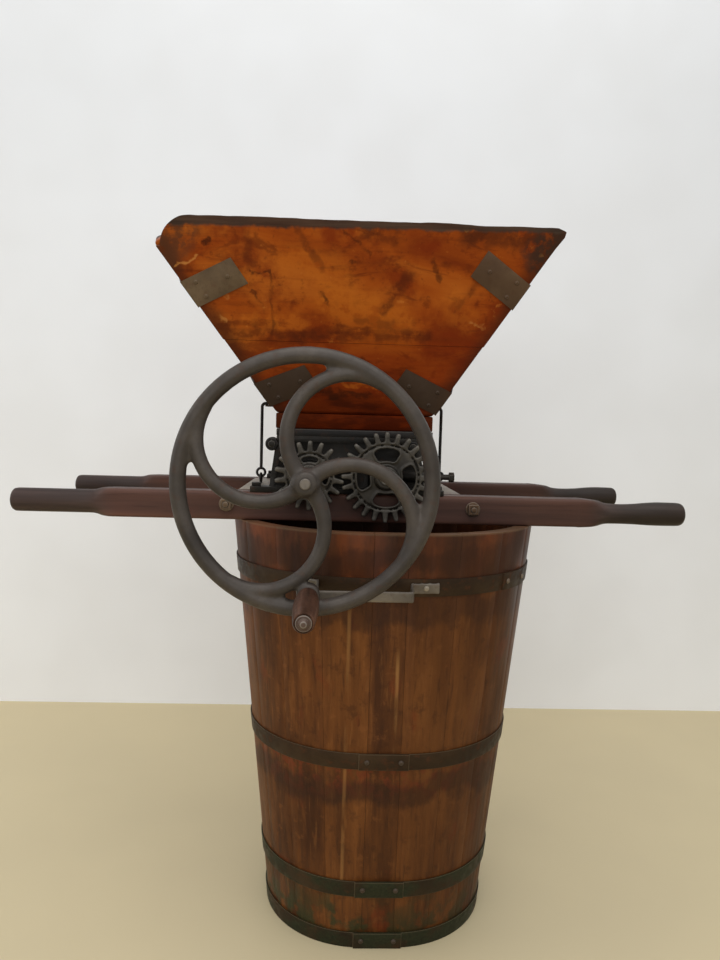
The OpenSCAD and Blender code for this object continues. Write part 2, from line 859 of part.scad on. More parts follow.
module hopper_collar() {
    height = collar_h - seat_fit;
    side_len = hopper_foot_d - 2 * board_t - 2 * seat_fit;
    color(hopper_colour) on_tub() translate([0, 0, seat_top_z]) {
        both_ends() translate([-hopper_foot_w / 2, -hopper_foot_d / 2, 0])
            cube([hopper_foot_w, board_t, height]);
        both_sides() translate([hopper_foot_w / 2 - board_t, -side_len / 2, 0])
            cube([board_t, side_len, height]);
    }
}

// Outer face of the front panel: x across, y up the slope, z outward
module on_front_panel() {
    translate([0, -hopper_foot_d / 2, slope_z]) rotate([90 + front_lean, 0, 0]) children();
}

// Outer face of the left panel: x towards the front, y up the slope, z outward
module on_left_panel(out) {
    rotate([0, 0, -90]) translate([0, -hopper_foot_w / 2, slope_z])
        rotate([90 + side_lean(out), 0, 0]) children();
}

// Distance of a front corner from the middle, at a place up the slope
function corner_x(v, out) = hopper_foot_w / 2 + out * v / front_slant;

module front_board(v0, v1) {
    translate([0, 0, -board_t]) linear_extrude(board_t)
        polygon([[-corner_x(v0, left_out), v0], [corner_x(v0, right_out), v0],
            [corner_x(v1, right_out), v1], [-corner_x(v1, left_out), v1]]);
}

// Trims the slanted foot of a panel level on the collar and its head level at the mouth
module level_trim() {
    intersection() {
        children();
        translate([-hopper_mouth_w, -hopper_mouth_d, slope_z])
            cube([2 * hopper_mouth_w, 2 * hopper_mouth_d, hopper_h]);
    }
}

module front_lower_board() {
    color(hopper_colour) on_tub() level_trim() on_front_panel() front_board(-board_t, lower_board);
}

module upper_board() {
    level_trim() on_front_panel() front_board(lower_board + board_seam, front_slant + board_t);
}

module front_upper_board() {
    worn_x = worn_corner * worn_share - corner_x(front_slant, left_out);
    color(hopper_colour) on_tub() difference() {
        upper_board();
        on_front_panel() translate([worn_x, front_slant - worn_corner, -2 * board_t]) difference() {
            translate([-2 * worn_corner, 0, 0]) cube([2 * worn_corner, 2 * worn_corner, 4 * board_t]);
            cylinder(r = worn_corner, h = 4 * board_t);
        }
    }
}

module rear_lower_board() {
    color(hopper_colour) on_tub() mirror([0, 1, 0]) level_trim() on_front_panel()
        front_board(-board_t, lower_board);
}

module rear_upper_board() {
    color(hopper_colour) on_tub() mirror([0, 1, 0]) upper_board();
}

// A side panel fits between the front and rear panels
module side_panel(out) {
    big = hopper_mouth_w;
    level_trim() difference() {
        on_left_panel(out) translate([-hopper_mouth_d / 2, -board_t, -board_t])
            cube([hopper_mouth_d, side_slant(out) + 2 * board_t, board_t]);
        both_ends() on_front_panel() translate([-big, -big, -board_t - seat_fit])
            cube([2 * big, 2 * big, big]);
    }
}

// The wear of the front corner runs on along the head of the left panel
module left_panel() {
    front_x = hopper_mouth_d / 2;
    head = side_slant(left_out);
    color(hopper_colour) on_tub() difference() {
        side_panel(left_out);
        on_left_panel(left_out) translate([0, 0, -2 * board_t]) linear_extrude(4 * board_t)
            polygon([[front_x - worn_run, head], [front_x, head - worn_fall],
                [front_x, head + 2 * board_t], [front_x - worn_run, head + 2 * board_t]]);
    }
}

module right_panel() {
    color(hopper_colour) on_tub() mirror([1, 0, 0]) side_panel(right_out);
}

// Place s up the front left corner on the front face: x runs inward from the corner
module on_front_corner(s, out) {
    on_front_panel() translate([-hopper_foot_w / 2, 0, 0]) rotate([0, 0, front_skew(out)])
        translate([0, s, 0]) children();
}

// The same place on the left face: x runs inward from the corner
module on_side_corner(s, out) {
    on_left_panel(out) translate([hopper_foot_d / 2, 0, 0]) rotate([0, 0, -side_skew(out)])
        translate([0, s, 0]) mirror([1, 0, 0]) children();
}

// One leaf of a strap, as long along the corner as it is wide and slanting away from it
module corner_leaf(slant) {
    wrap = corner_t + seat_fit;
    rise = tan(slant);
    translate([0, 0, seat_fit]) linear_extrude(corner_t)
        polygon([for (p = [[-wrap, -1], [corner_len, -1], [corner_len, 1], [-wrap, 1]])
            [p[0], p[1] * corner_w / 2 + p[0] * rise]]);
}

module corner_strap(s, slant, out) {
    union() {
        on_front_corner(s, out) corner_leaf(slant);
        on_side_corner(s, out) corner_leaf(-slant);
    }
}

// Straps of all four corners, with one place and slant for the left side and one for the right
module corner_straps(places, slants) {
    color(strap_colour) on_tub() both_ends() {
        corner_strap(places[0], slants[0], left_out);
        mirror([1, 0, 0]) corner_strap(places[1], slants[1], right_out);
    }
}

module upper_corner_straps() {
    corner_straps(upper_corner_s, upper_slant);
}

module lower_corner_straps() {
    corner_straps(lower_corner_s, lower_slant);
}

module leaf_nails(slant) {
    for (spot = nail_spots)
        translate([spot[0] * corner_len, spot[1] * corner_w + spot[0] * corner_len * tan(slant), 0])
            translate([0, 0, 2 * seat_fit + corner_t])
                cylinder(r1 = nail_r, r2 = nail_r * head_taper, h = nail_h);
}

module strap_nails(s, slant, out) {
    on_front_corner(s, out) leaf_nails(slant);
    on_side_corner(s, out) leaf_nails(-slant);
}

module corner_nails() {
    color(iron_colour) on_tub() both_ends() {
        strap_nails(upper_corner_s[0], upper_slant[0], left_out);
        strap_nails(lower_corner_s[0], lower_slant[0], left_out);
        mirror([1, 0, 0]) strap_nails(upper_corner_s[1], upper_slant[1], right_out);
        mirror([1, 0, 0]) strap_nails(lower_corner_s[1], lower_slant[1], right_out);
    }
}

// Hooks, drawn for the left side; reach is the distance of the hook from the middle

function wall_x(z, out) = hopper_foot_w / 2 + out * (z - slope_z) / hopper_h;

module keeper(reach, out) {
    leaf_up = shelf_up / cos(side_lean(out));
    shelf_out = reach - hook_bend;
    shelf_in = wall_x(shelf_z, out) + seat_fit;
    union() {
        on_left_panel(out) translate([-keeper_w / 2, keeper_foot, seat_fit])
            cube([keeper_w, leaf_up + keeper_rise, keeper_t]);
        translate([-shelf_out, -keeper_w / 2, shelf_z - keeper_t])
            cube([shelf_out - shelf_in, keeper_w, keeper_t]);
    }
}

module hook_keepers() {
    color(strap_colour) on_tub() {
        keeper(-left_hook_x, left_out);
        mirror([1, 0, 0]) keeper(right_hook_x, right_out);
    }
}

module eye() {
    rotate_extrude() translate([eye_r, 0]) circle(d = eye_wire);
}

module hook_eye(x) {
    translate([x, 0, 0]) union() {
        translate([0, 0, eye_z]) rotate([0, 90, 0]) eye();
        translate([0, 0, beam_h - eye_screw_len])
            cylinder(d = eye_wire, h = eye_screw_len + eye_z - eye_r - beam_h);
    }
}

module hook_eyes() {
    color(gear_colour) on_tub() for (x = [left_hook_x, right_hook_x]) hook_eye(x);
}

// A hook with its tip towards +X
module hook() {
    rod_from = hook_eye_z + eye_r;
    rod_to = hook_tip_z - hook_bend;
    union() {
        translate([0, 0, hook_eye_z]) rotate([90, 0, 0]) eye();
        translate([0, 0, rod_from]) cylinder(d = hook_d, h = rod_to - rod_from);
        translate([hook_bend, 0, rod_to]) rotate([90, 0, 0]) rotate([0, 0, 90])
            rotate_extrude(angle = 90) translate([hook_bend, 0]) circle(d = hook_d);
        rod_x(0, hook_tip_z, hook_bend, hook_bend + hook_tip_len, hook_d / 2);
    }
}

module left_hook() {
    color(gear_colour) on_tub() translate([left_hook_x, 0, 0]) hook();
}

module right_hook() {
    color(gear_colour) on_tub() translate([right_hook_x, 0, 0]) mirror([1, 0, 0]) hook();
}

// Rollers and gears

// Ribbed outline of a roller
function ribbed_outline() = let (
    step = 360 / ribs,
    foot_r = roller_r - rib_h,
    rib = [[foot_r, -rib_foot_share], [roller_r, -rib_top_share], [roller_r, rib_top_share],
        [foot_r, rib_foot_share]])
    [for (i = [0 : ribs - 1], corner = rib)
        let (a = (i + corner[1]) * step) [corner[0] * cos(a), corner[0] * sin(a)]];

module roller(x) {
    color(gear_colour) on_box() translate([x, 0, axis_z]) difference() {
        front_view(-roller_len / 2, roller_len / 2) polygon(ribbed_outline());
        rod_y(0, 0, -roller_len, roller_len, shaft_r + seat_fit);
    }
}

// Involute gear outline with long teeth, a tooth pointing along its phase
pressure_angle = 20;
tooth_share = 0.45;
function involute(r, base_r) = let (a = acos(min(base_r / r, 1))) tan(a) * 180 / PI - a;
function gear_outline(teeth, phase) = let (
    pitch_r = gear_module * teeth / 2,
    base_r = pitch_r * cos(pressure_angle),
    half = tooth_share * 180 / teeth + involute(pitch_r, base_r),
    radii = [pitch_r - tooth_foot, base_r, pitch_r, pitch_r + gear_module / 2, pitch_r + gear_module],
    rise = [for (r = radii) [r, -half + involute(max(r, base_r), base_r)]],
    flank = concat(rise, [for (i = [len(rise) - 1 : -1 : 0]) [rise[i][0], -rise[i][1]]]))
    [for (i = [0 : teeth - 1], p = flank)
        let (a = phase + i * 360 / teeth + p[1]) [p[0] * cos(a), p[0] * sin(a)]];

module key_slot(y0, y1) {
    translate([-key_w / 2 - seat_fit, y0, 0])
        cube([key_w + 2 * seat_fit, y1 - y0, shaft_r + key_w / 2 + seat_fit]);
}

module key(y0, y1) {
    translate([-key_w / 2, y0, shaft_r - key_w / 2]) cube([key_w, y1 - y0, key_w]);
}

// Gear on its axis: toothed rim, thinner web with four windows, hub
module gear(teeth, phase) {
    pitch_r = gear_module * teeth / 2;
    rim_in = pitch_r - tooth_foot - gear_rim;
    window_in = gear_hub_d / 2 + window_margin;
    window_out = rim_in - window_margin;
    gear_front = gear_back - gear_w;
    difference() {
        union() {
            difference() {
                front_view(gear_front, gear_back) polygon(gear_outline(teeth, phase));
                rod_y(0, 0, gear_front - cut_over, gear_front + web_recess, rim_in);
                rod_y(0, 0, gear_back - web_recess, gear_back + cut_over, rim_in);
                for (a = [0 : 90 : 270])
                    translate([0, gear_back + cut_over, 0]) rotate([90, a - window_angle / 2, 0])
                        rotate_extrude(angle = window_angle) translate([window_in, 0])
                            square([window_out - window_in, gear_w + 2 * cut_over]);
            }
            rod_y(0, 0, gear_back - gear_hub_len, gear_back, gear_hub_d / 2);
        }
        rod_y(0, 0, gear_back - 2 * gear_hub_len, gear_back + cut_over, shaft_r + seat_fit);
        key_slot(gear_back - 2 * gear_hub_len, gear_back + cut_over);
    }
}

module shaft(y0, y1) {
    chamfer = 1.5;
    translate([0, y1, 0]) rotate([90, 0, 0]) rotate_extrude()
        polygon([[0, 0], [shaft_r - chamfer, 0], [shaft_r, chamfer], [shaft_r, y1 - y0 - chamfer],
            [shaft_r - chamfer, y1 - y0], [0, y1 - y0]]);
}

module shaft_slot(y0, y1) {
    translate([-key_w / 2 - seat_fit, y0 - seat_fit, shaft_r - key_w / 2 - seat_fit])
        cube([key_w + 2 * seat_fit, y1 - y0 + 2 * seat_fit, key_w]);
}

hub_front = flywheel_y - hub_proud;
hub_back = hub_front + hub_len;
gear_key_front = gear_back - gear_hub_len + key_inset;
gear_key_back = gear_back - key_inset;
hub_key_front = hub_front + key_inset;
hub_key_back = hub_back - key_inset;

module drive_shaft() {
    color(steel_colour) on_box() translate([drive_x, 0, axis_z]) difference() {
        shaft(hub_front - shaft_over, shaft_rear);
        shaft_slot(gear_key_front, gear_key_back);
        shaft_slot(hub_key_front, hub_key_back);
    }
}

module drive_roller() {
    roller(drive_x);
}

module drive_gear() {
    color(gear_colour) on_box() translate([drive_x, 0, axis_z]) gear(drive_teeth, 180 / drive_teeth);
}

module drive_keys() {
    color(steel_colour) on_box() translate([drive_x, 0, axis_z]) {
        key(gear_key_front, gear_key_back);
        key(hub_key_front, hub_key_back);
    }
}

module driven_shaft() {
    color(steel_colour) on_box() translate([driven_x, 0, axis_z]) difference() {
        shaft(gear_back - gear_hub_len - shaft_over, shaft_rear);
        shaft_slot(gear_key_front, gear_key_back);
    }
}

module driven_roller() {
    roller(driven_x);
}

module driven_gear() {
    color(gear_colour) on_box() translate([driven_x, 0, axis_z]) gear(driven_teeth, 180);
}

module driven_key() {
    color(steel_colour) on_box() translate([driven_x, 0, axis_z]) key(gear_key_front, gear_key_back);
}

// Sliding bearing block: it fills the window of an end plate and its cheeks run on both sides
module bearing_block() {
    cheek_y = border_t / 2 + slide_fit;
    cheek_z = flange_t + slide_fit;
    cheek_top = axis_h + block_h / 2 + cheek_over;
    color(iron_colour) difference() {
        union() {
            translate([driven_x - block_w / 2, -bearing_reach, axis_h - block_h / 2])
                cube([block_w, 2 * bearing_reach, block_h]);
            both_ends() translate([driven_x - block_w / 2, cheek_y, cheek_z])
                cube([block_w, cheek_t, cheek_top - cheek_z]);
        }
        rod_y(driven_x, axis_h, -2 * bearing_reach, 2 * bearing_reach, bearing_r);
        rod_x(0, axis_h, driven_x + block_w / 2 - screw_seat, driven_x + block_w, screw_d / 2 + seat_fit);
    }
}

module front_bearing_block() {
    on_front_plate() bearing_block();
}

module rear_bearing_block() {
    on_rear_plate() bearing_block();
}

module adjusting_screw() {
    color(steel_colour) union() {
        rod_x(0, axis_h, driven_x + block_w / 2 - screw_seat + seat_fit, screw_out_x, screw_d / 2);
        translate([screw_out_x, 0, axis_h]) rotate([0, 90, 0])
            cylinder(r = screw_head_r, h = screw_head_t, $fn = 6);
    }
}

module front_adjusting_screw() {
    on_front_plate() adjusting_screw();
}

module rear_adjusting_screw() {
    on_rear_plate() adjusting_screw();
}

// Flywheel and crank

// Flat web in the sharp corner between the end of a spoke and the rim, with a rounded edge
module spoke_web() {
    step = (spoke_web_to - spoke_web_from) / spoke_web_steps;
    spoke_side = [for (a = [spoke_web_from : step : spoke_web_to]) rim_r * cos(a) * [cos(a), sin(a)]];
    rim_side = [for (a = [spoke_web_to : -step : spoke_web_from]) rim_r * [cos(a), sin(a)]];
    edge = (spoke_side[spoke_web_steps] + rim_side[0]) / 2;
    difference() {
        translate([0, 0, -spoke_web_t / 2]) linear_extrude(spoke_web_t) polygon(concat(spoke_side, rim_side));
        translate([edge[0], edge[1], -spoke_web_t]) cylinder(r = spoke_web_round, h = 2 * spoke_web_t);
    }
}

module flywheel() {
    arc_r = rim_r / 2;
    boss_y0 = flywheel_y - crank_boss_t / 2;
    boss_y1 = flywheel_y + crank_boss_t / 2;
    color(iron_colour) on_box() difference() {
        union() {
            translate([drive_x, flywheel_y, axis_z]) rotate([90, 0, 0]) {
                rotate_extrude() translate([rim_r, 0]) circle(d = rim_d);
                for (i = [0 : spoke_count - 1]) rotate([0, 0, spoke_phase + i * 360 / spoke_count]) {
                    translate([arc_r, 0, 0]) rotate([0, 0, 180 - spoke_arc])
                        rotate_extrude(angle = spoke_arc) translate([arc_r, 0]) circle(d = spoke_d);
                    spoke_web();
                }
            }
            rod_y(drive_x, axis_z, hub_front, hub_back, hub_d / 2);
            rod_y(crank_x, crank_z, boss_y0, boss_y1, crank_boss_r);
        }
        rod_y(drive_x, axis_z, hub_front - cut_over, hub_back + cut_over, shaft_r + seat_fit);
        translate([drive_x, 0, axis_z]) key_slot(hub_front - cut_over, hub_back + cut_over);
        rod_y(crank_x, crank_z, boss_y0 - cut_over, boss_y1 + cut_over, pin_d / 2 + seat_fit);
    }
}

module crank_pin() {
    boss_rear = flywheel_y + crank_boss_t / 2 + seat_fit;
    boss_front = flywheel_y - crank_boss_t / 2 - seat_fit;
    end_y = grip_front_y - slide_fit - crank_washer_t - seat_fit;
    color(steel_colour) on_box() union() {
        rod_y(crank_x, crank_z, end_y, boss_rear + pin_head_t / 2, pin_d / 2);
        rod_y(crank_x, crank_z, boss_rear, boss_rear + pin_head_t, pin_head_r);
        rod_y(crank_x, crank_z, boss_front - pin_collar_t + seat_fit, boss_front, pin_collar_r);
        translate([crank_x, end_y, crank_z]) rotate([90, 0, 0])
            cylinder(r1 = pin_head_r, r2 = pin_head_r / 2, h = pin_dome_t);
    }
}

module crank_washer() {
    back = grip_front_y - slide_fit;
    color(steel_colour) on_box() difference() {
        rod_y(crank_x, crank_z, back - crank_washer_t, back, crank_washer_r);
        rod_y(crank_x, crank_z, 2 * grip_front_y, 0, pin_d / 2 + seat_fit);
    }
}

// Barrel outline of the grip, from the flywheel end to the hand end
function barrel_outline() = let (bore = pin_d / 2 + running_fit, belly = crank_grip_d / 2)
    concat([[bore, 0]],
        [for (i = [0 : barrel_steps]) let (t = i / barrel_steps)
            [belly * (grip_waist + (1 - grip_waist) * sin(180 * pow(t, barrel_skew))), crank_grip_len * t]],
        [[bore, crank_grip_len]]);

module crank_grip() {
    color(grip_colour) on_box() translate([crank_x, grip_rear_y, crank_z]) rotate([90, 0, 0])
        rotate_extrude() polygon(barrel_outline());
}

front_stave();
rear_stave();
left_staves();
right_staves();
tub_bottom();
top_hoop();
middle_hoop();
lower_hoop();
base_hoop();
tub_rivets();
front_tub_handle();
rear_tub_handle();
front_beam();
rear_beam();
left_crossbar();
right_crossbar();
tie_bolts();
tie_nuts();
tie_washers();
front_end_plate();
rear_end_plate();
coach_bolts();
left_side_plate();
right_side_plate();
stay_rods();
stay_nuts();
drive_bushes();
lock_nuts();
hopper_seat();
hopper_collar();
front_lower_board();
front_upper_board();
rear_lower_board();
rear_upper_board();
left_panel();
right_panel();
upper_corner_straps();
lower_corner_straps();
corner_nails();
hook_keepers();
hook_eyes();
drive_shaft();
drive_roller();
drive_gear();
drive_keys();
flywheel();
crank_pin();
crank_washer();
crank_grip();
front_bearing_block();
rear_bearing_block();
driven_shaft();
driven_roller();
driven_gear();
driven_key();
front_adjusting_screw();
rear_adjusting_screw();
left_hook();
right_hook();
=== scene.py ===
"""Looks of a hand-cranked grape crusher: worn wood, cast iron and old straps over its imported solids."""

import json
import math
import random

import bmesh
import bpy
import numpy as np
from mathutils import Matrix, Vector, noise
from mathutils.geometry import tessellate_polygon

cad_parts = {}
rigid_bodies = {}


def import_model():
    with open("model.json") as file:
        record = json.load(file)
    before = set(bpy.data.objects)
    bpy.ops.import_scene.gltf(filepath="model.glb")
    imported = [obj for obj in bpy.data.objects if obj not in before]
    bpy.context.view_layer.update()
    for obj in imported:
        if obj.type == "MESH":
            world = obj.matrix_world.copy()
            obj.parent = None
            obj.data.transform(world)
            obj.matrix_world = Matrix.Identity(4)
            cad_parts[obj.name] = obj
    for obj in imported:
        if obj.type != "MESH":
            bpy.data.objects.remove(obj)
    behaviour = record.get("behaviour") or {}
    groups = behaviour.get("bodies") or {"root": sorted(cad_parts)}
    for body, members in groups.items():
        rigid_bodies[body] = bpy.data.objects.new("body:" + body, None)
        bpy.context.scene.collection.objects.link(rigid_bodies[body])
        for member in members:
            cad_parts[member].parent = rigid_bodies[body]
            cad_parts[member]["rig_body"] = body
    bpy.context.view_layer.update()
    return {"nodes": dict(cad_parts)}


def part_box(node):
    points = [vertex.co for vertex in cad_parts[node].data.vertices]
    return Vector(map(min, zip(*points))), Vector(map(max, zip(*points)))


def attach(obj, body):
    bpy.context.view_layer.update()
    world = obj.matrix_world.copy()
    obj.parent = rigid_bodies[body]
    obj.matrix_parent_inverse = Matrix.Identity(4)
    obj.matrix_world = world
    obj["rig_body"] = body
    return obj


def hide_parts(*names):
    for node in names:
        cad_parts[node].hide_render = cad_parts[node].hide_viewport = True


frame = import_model()
shuffle = random.Random(7)

# Places that the shapes and the wear follow, in metres, repeated from the part's source
HOPPER_X = -0.060
HOPPER_FOOT_Z = 0.9297
HOPPER_SEAM_Z = 1.0518
HOPPER_MOUTH_Z = 1.2437
HOPPER_FOOT_HALF = 0.142
HOPPER_LEFT_SPREAD = 0.7325
HOPPER_RIGHT_SPREAD = 0.6433
WHEEL = Vector((-0.137, -0.307, 0.8222))
WHEEL_RIM = 0.190
RIM_HALF = 0.0128
DRIVE_AXIS = Vector((-0.137, 0, 0.8222))
DRIVEN_AXIS = Vector((-0.005, 0, 0.8222))
RIM_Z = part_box("front_stave")[1].z
HEAD_STAIN_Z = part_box("top_hoop")[1].z
HANDLE_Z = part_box("front_tub_handle")[1].z
PATCH_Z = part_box("middle_hoop")[0].z - 0.022
BEAM_MIDDLE_X = -0.060
BEAM_HALF = 0.598
DEPTH = Vector((0, 1, 0))


def tint(red, green, blue):
    """A colour as it looks on screen, 0 to 255, made linear."""
    def linear(level):
        share = level / 255
        return share / 12.92 if share <= 0.04045 else ((share + 0.055) / 1.055) ** 2.4
    return (linear(red), linear(green), linear(blue), 1.0)


class Look:
    """A procedural material. Its calls add nodes and give back their output sockets."""

    def __init__(self, name, metallic=0.0, coat=0.0, coat_roughness=0.2, specular=0.5):
        self.material = bpy.data.materials.new(name)
        self.material.use_nodes = True
        self.tree = self.material.node_tree
        self.shader = self.tree.nodes["Principled BSDF"]
        self.shader.inputs["Metallic"].default_value = metallic
        self.shader.inputs["Specular IOR Level"].default_value = specular
        self.shader.inputs["Coat Weight"].default_value = coat
        self.shader.inputs["Coat Roughness"].default_value = coat_roughness
        self.place = self.add("ShaderNodeTexCoord").outputs["Object"]
        split = self.add("ShaderNodeSeparateXYZ")
        self.feed(split.inputs[0], self.place)
        self.x, self.y, self.z = split.outputs

    def add(self, kind, **settings):
        node = self.tree.nodes.new(kind)
        for key, value in settings.items():
            setattr(node, key, value)
        return node

    def feed(self, socket, value):
        if isinstance(value, bpy.types.NodeSocket):
            self.tree.links.new(value, socket)
        else:
            socket.default_value = value

    def stretched(self, scale):
        """The place with each axis scaled, for patterns that run along one of them."""
        node = self.add("ShaderNodeMapping")
        self.feed(node.inputs["Vector"], self.place)
        node.inputs["Scale"].default_value = scale
        return node.outputs["Vector"]

    def noise(self, scale, where=None, detail=5.0, rough=0.55, twist=0.0):
        node = self.add("ShaderNodeTexNoise")
        self.feed(node.inputs["Vector"], self.place if where is None else where)
        node.inputs["Scale"].default_value = scale
        node.inputs["Detail"].default_value = detail
        node.inputs["Roughness"].default_value = rough
        node.inputs["Distortion"].default_value = twist
        return node.outputs["Fac"]

    def grade(self, value, start, end, low=0.0, high=1.0):
        """A soft step: low before start, high past end."""
        node = self.add("ShaderNodeMapRange", interpolation_type="SMOOTHSTEP")
        self.feed(node.inputs["Value"], value)
        node.inputs["From Min"].default_value = start
        node.inputs["From Max"].default_value = end
        node.inputs["To Min"].default_value = low
        node.inputs["To Max"].default_value = high
        return node.outputs["Result"]

    def calc(self, operation, first, second=0.0):
        node = self.add("ShaderNodeMath", operation=operation)
        self.feed(node.inputs[0], first)
        self.feed(node.inputs[1], second)
        return node.outputs[0]

    def band(self, value, middle, half, soft):
        """A mask round one value of a coordinate."""
        off = self.calc("ABSOLUTE", self.calc("SUBTRACT", value, middle))
        return self.grade(off, half, half + soft, 1.0, 0.0)

    def vector(self, operation, first, second):
        node = self.add("ShaderNodeVectorMath", operation=operation)
        self.feed(node.inputs[0], first)
        self.feed(node.inputs["Scale" if operation == "SCALE" else 1], second)
        return node.outputs["Value" if operation in ("DOT_PRODUCT", "DISTANCE") else "Vector"]

    def warped(self, scale, reach):
        """The place seen from the front, pushed about by a noise so that lines drawn on it wander."""
        node = self.add("ShaderNodeTexNoise")
        self.feed(node.inputs["Vector"], self.place)
        node.inputs["Scale"].default_value = scale
        node.inputs["Detail"].default_value = 4.0
        off_middle = self.vector("SUBTRACT", node.outputs["Color"], (0.5, 0.5, 0.5))
        push = self.vector("MULTIPLY", off_middle, (reach, 0, reach))
        return self.vector("ADD", self.stretched((1, 0, 1)), push)

    def stroke(self, where, start, end, half, soft):
        """A mask along a stroke seen from the front, its ends given in X and Z."""
        line = Vector((end[0] - start[0], 0, end[1] - start[1]))
        away = self.vector("SUBTRACT", where, (start[0], 0, start[1]))
        along = self.vector("DOT_PRODUCT", away, line / line.length_squared)
        share = self.calc("MAXIMUM", self.calc("MINIMUM", along, 1.0), 0.0)
        off = self.vector("DISTANCE", away, self.vector("SCALE", line, share))
        return self.grade(off, half, half + soft, 1.0, 0.0)

    def stored(self, name):
        return self.add("ShaderNodeAttribute", attribute_name=name).outputs["Fac"]

    def blend(self, factor, under, over, mode="MIX"):
        node = self.add("ShaderNodeMix", data_type="RGBA", blend_type=mode)
        self.feed(node.inputs[0], factor)
        self.feed(node.inputs[6], under)
        self.feed(node.inputs[7], over)
        return node.outputs[2]

    def tones(self, value, *stops):
        """Colours along a value: each stop is its place from 0 to 1 and its colour."""
        node = self.add("ShaderNodeValToRGB")
        self.feed(node.inputs["Fac"], value)
        ramp = node.color_ramp.elements
        while len(ramp) < len(stops):
            ramp.new(0.5)
        for element, (place, colour) in zip(ramp, stops):
            element.position = place
            element.color = colour
        return node.outputs["Color"]

    def done(self, colour, roughness, *reliefs):
        """Joins colour, roughness and bumps, each a height, its depth in metres and its strength."""
        self.feed(self.shader.inputs["Base Color"], colour)
        self.feed(self.shader.inputs["Roughness"], roughness)
        normal = None
        for height, depth, strength in reliefs:
            bump = self.add("ShaderNodeBump")
            bump.inputs["Strength"].default_value = strength
            bump.inputs["Distance"].default_value = depth
            self.feed(bump.inputs["Height"], height)
            if normal is not None:
                self.feed(bump.inputs["Normal"], normal)
            normal = bump.outputs["Normal"]
        self.feed(self.shader.inputs["Normal"], normal)
        return self.material


# Materials: wood

# Grain runs along the axis whose places count for little
ALONG_X = (0.05, 1, 1)
ALONG_Y = (1, 0.05, 1)
ALONG_Z = (1, 1, 0.05)


def eased(along, share):
    """The same direction of the grain, drawn out less."""
    return [share + (1 - share) * scale for scale in along]



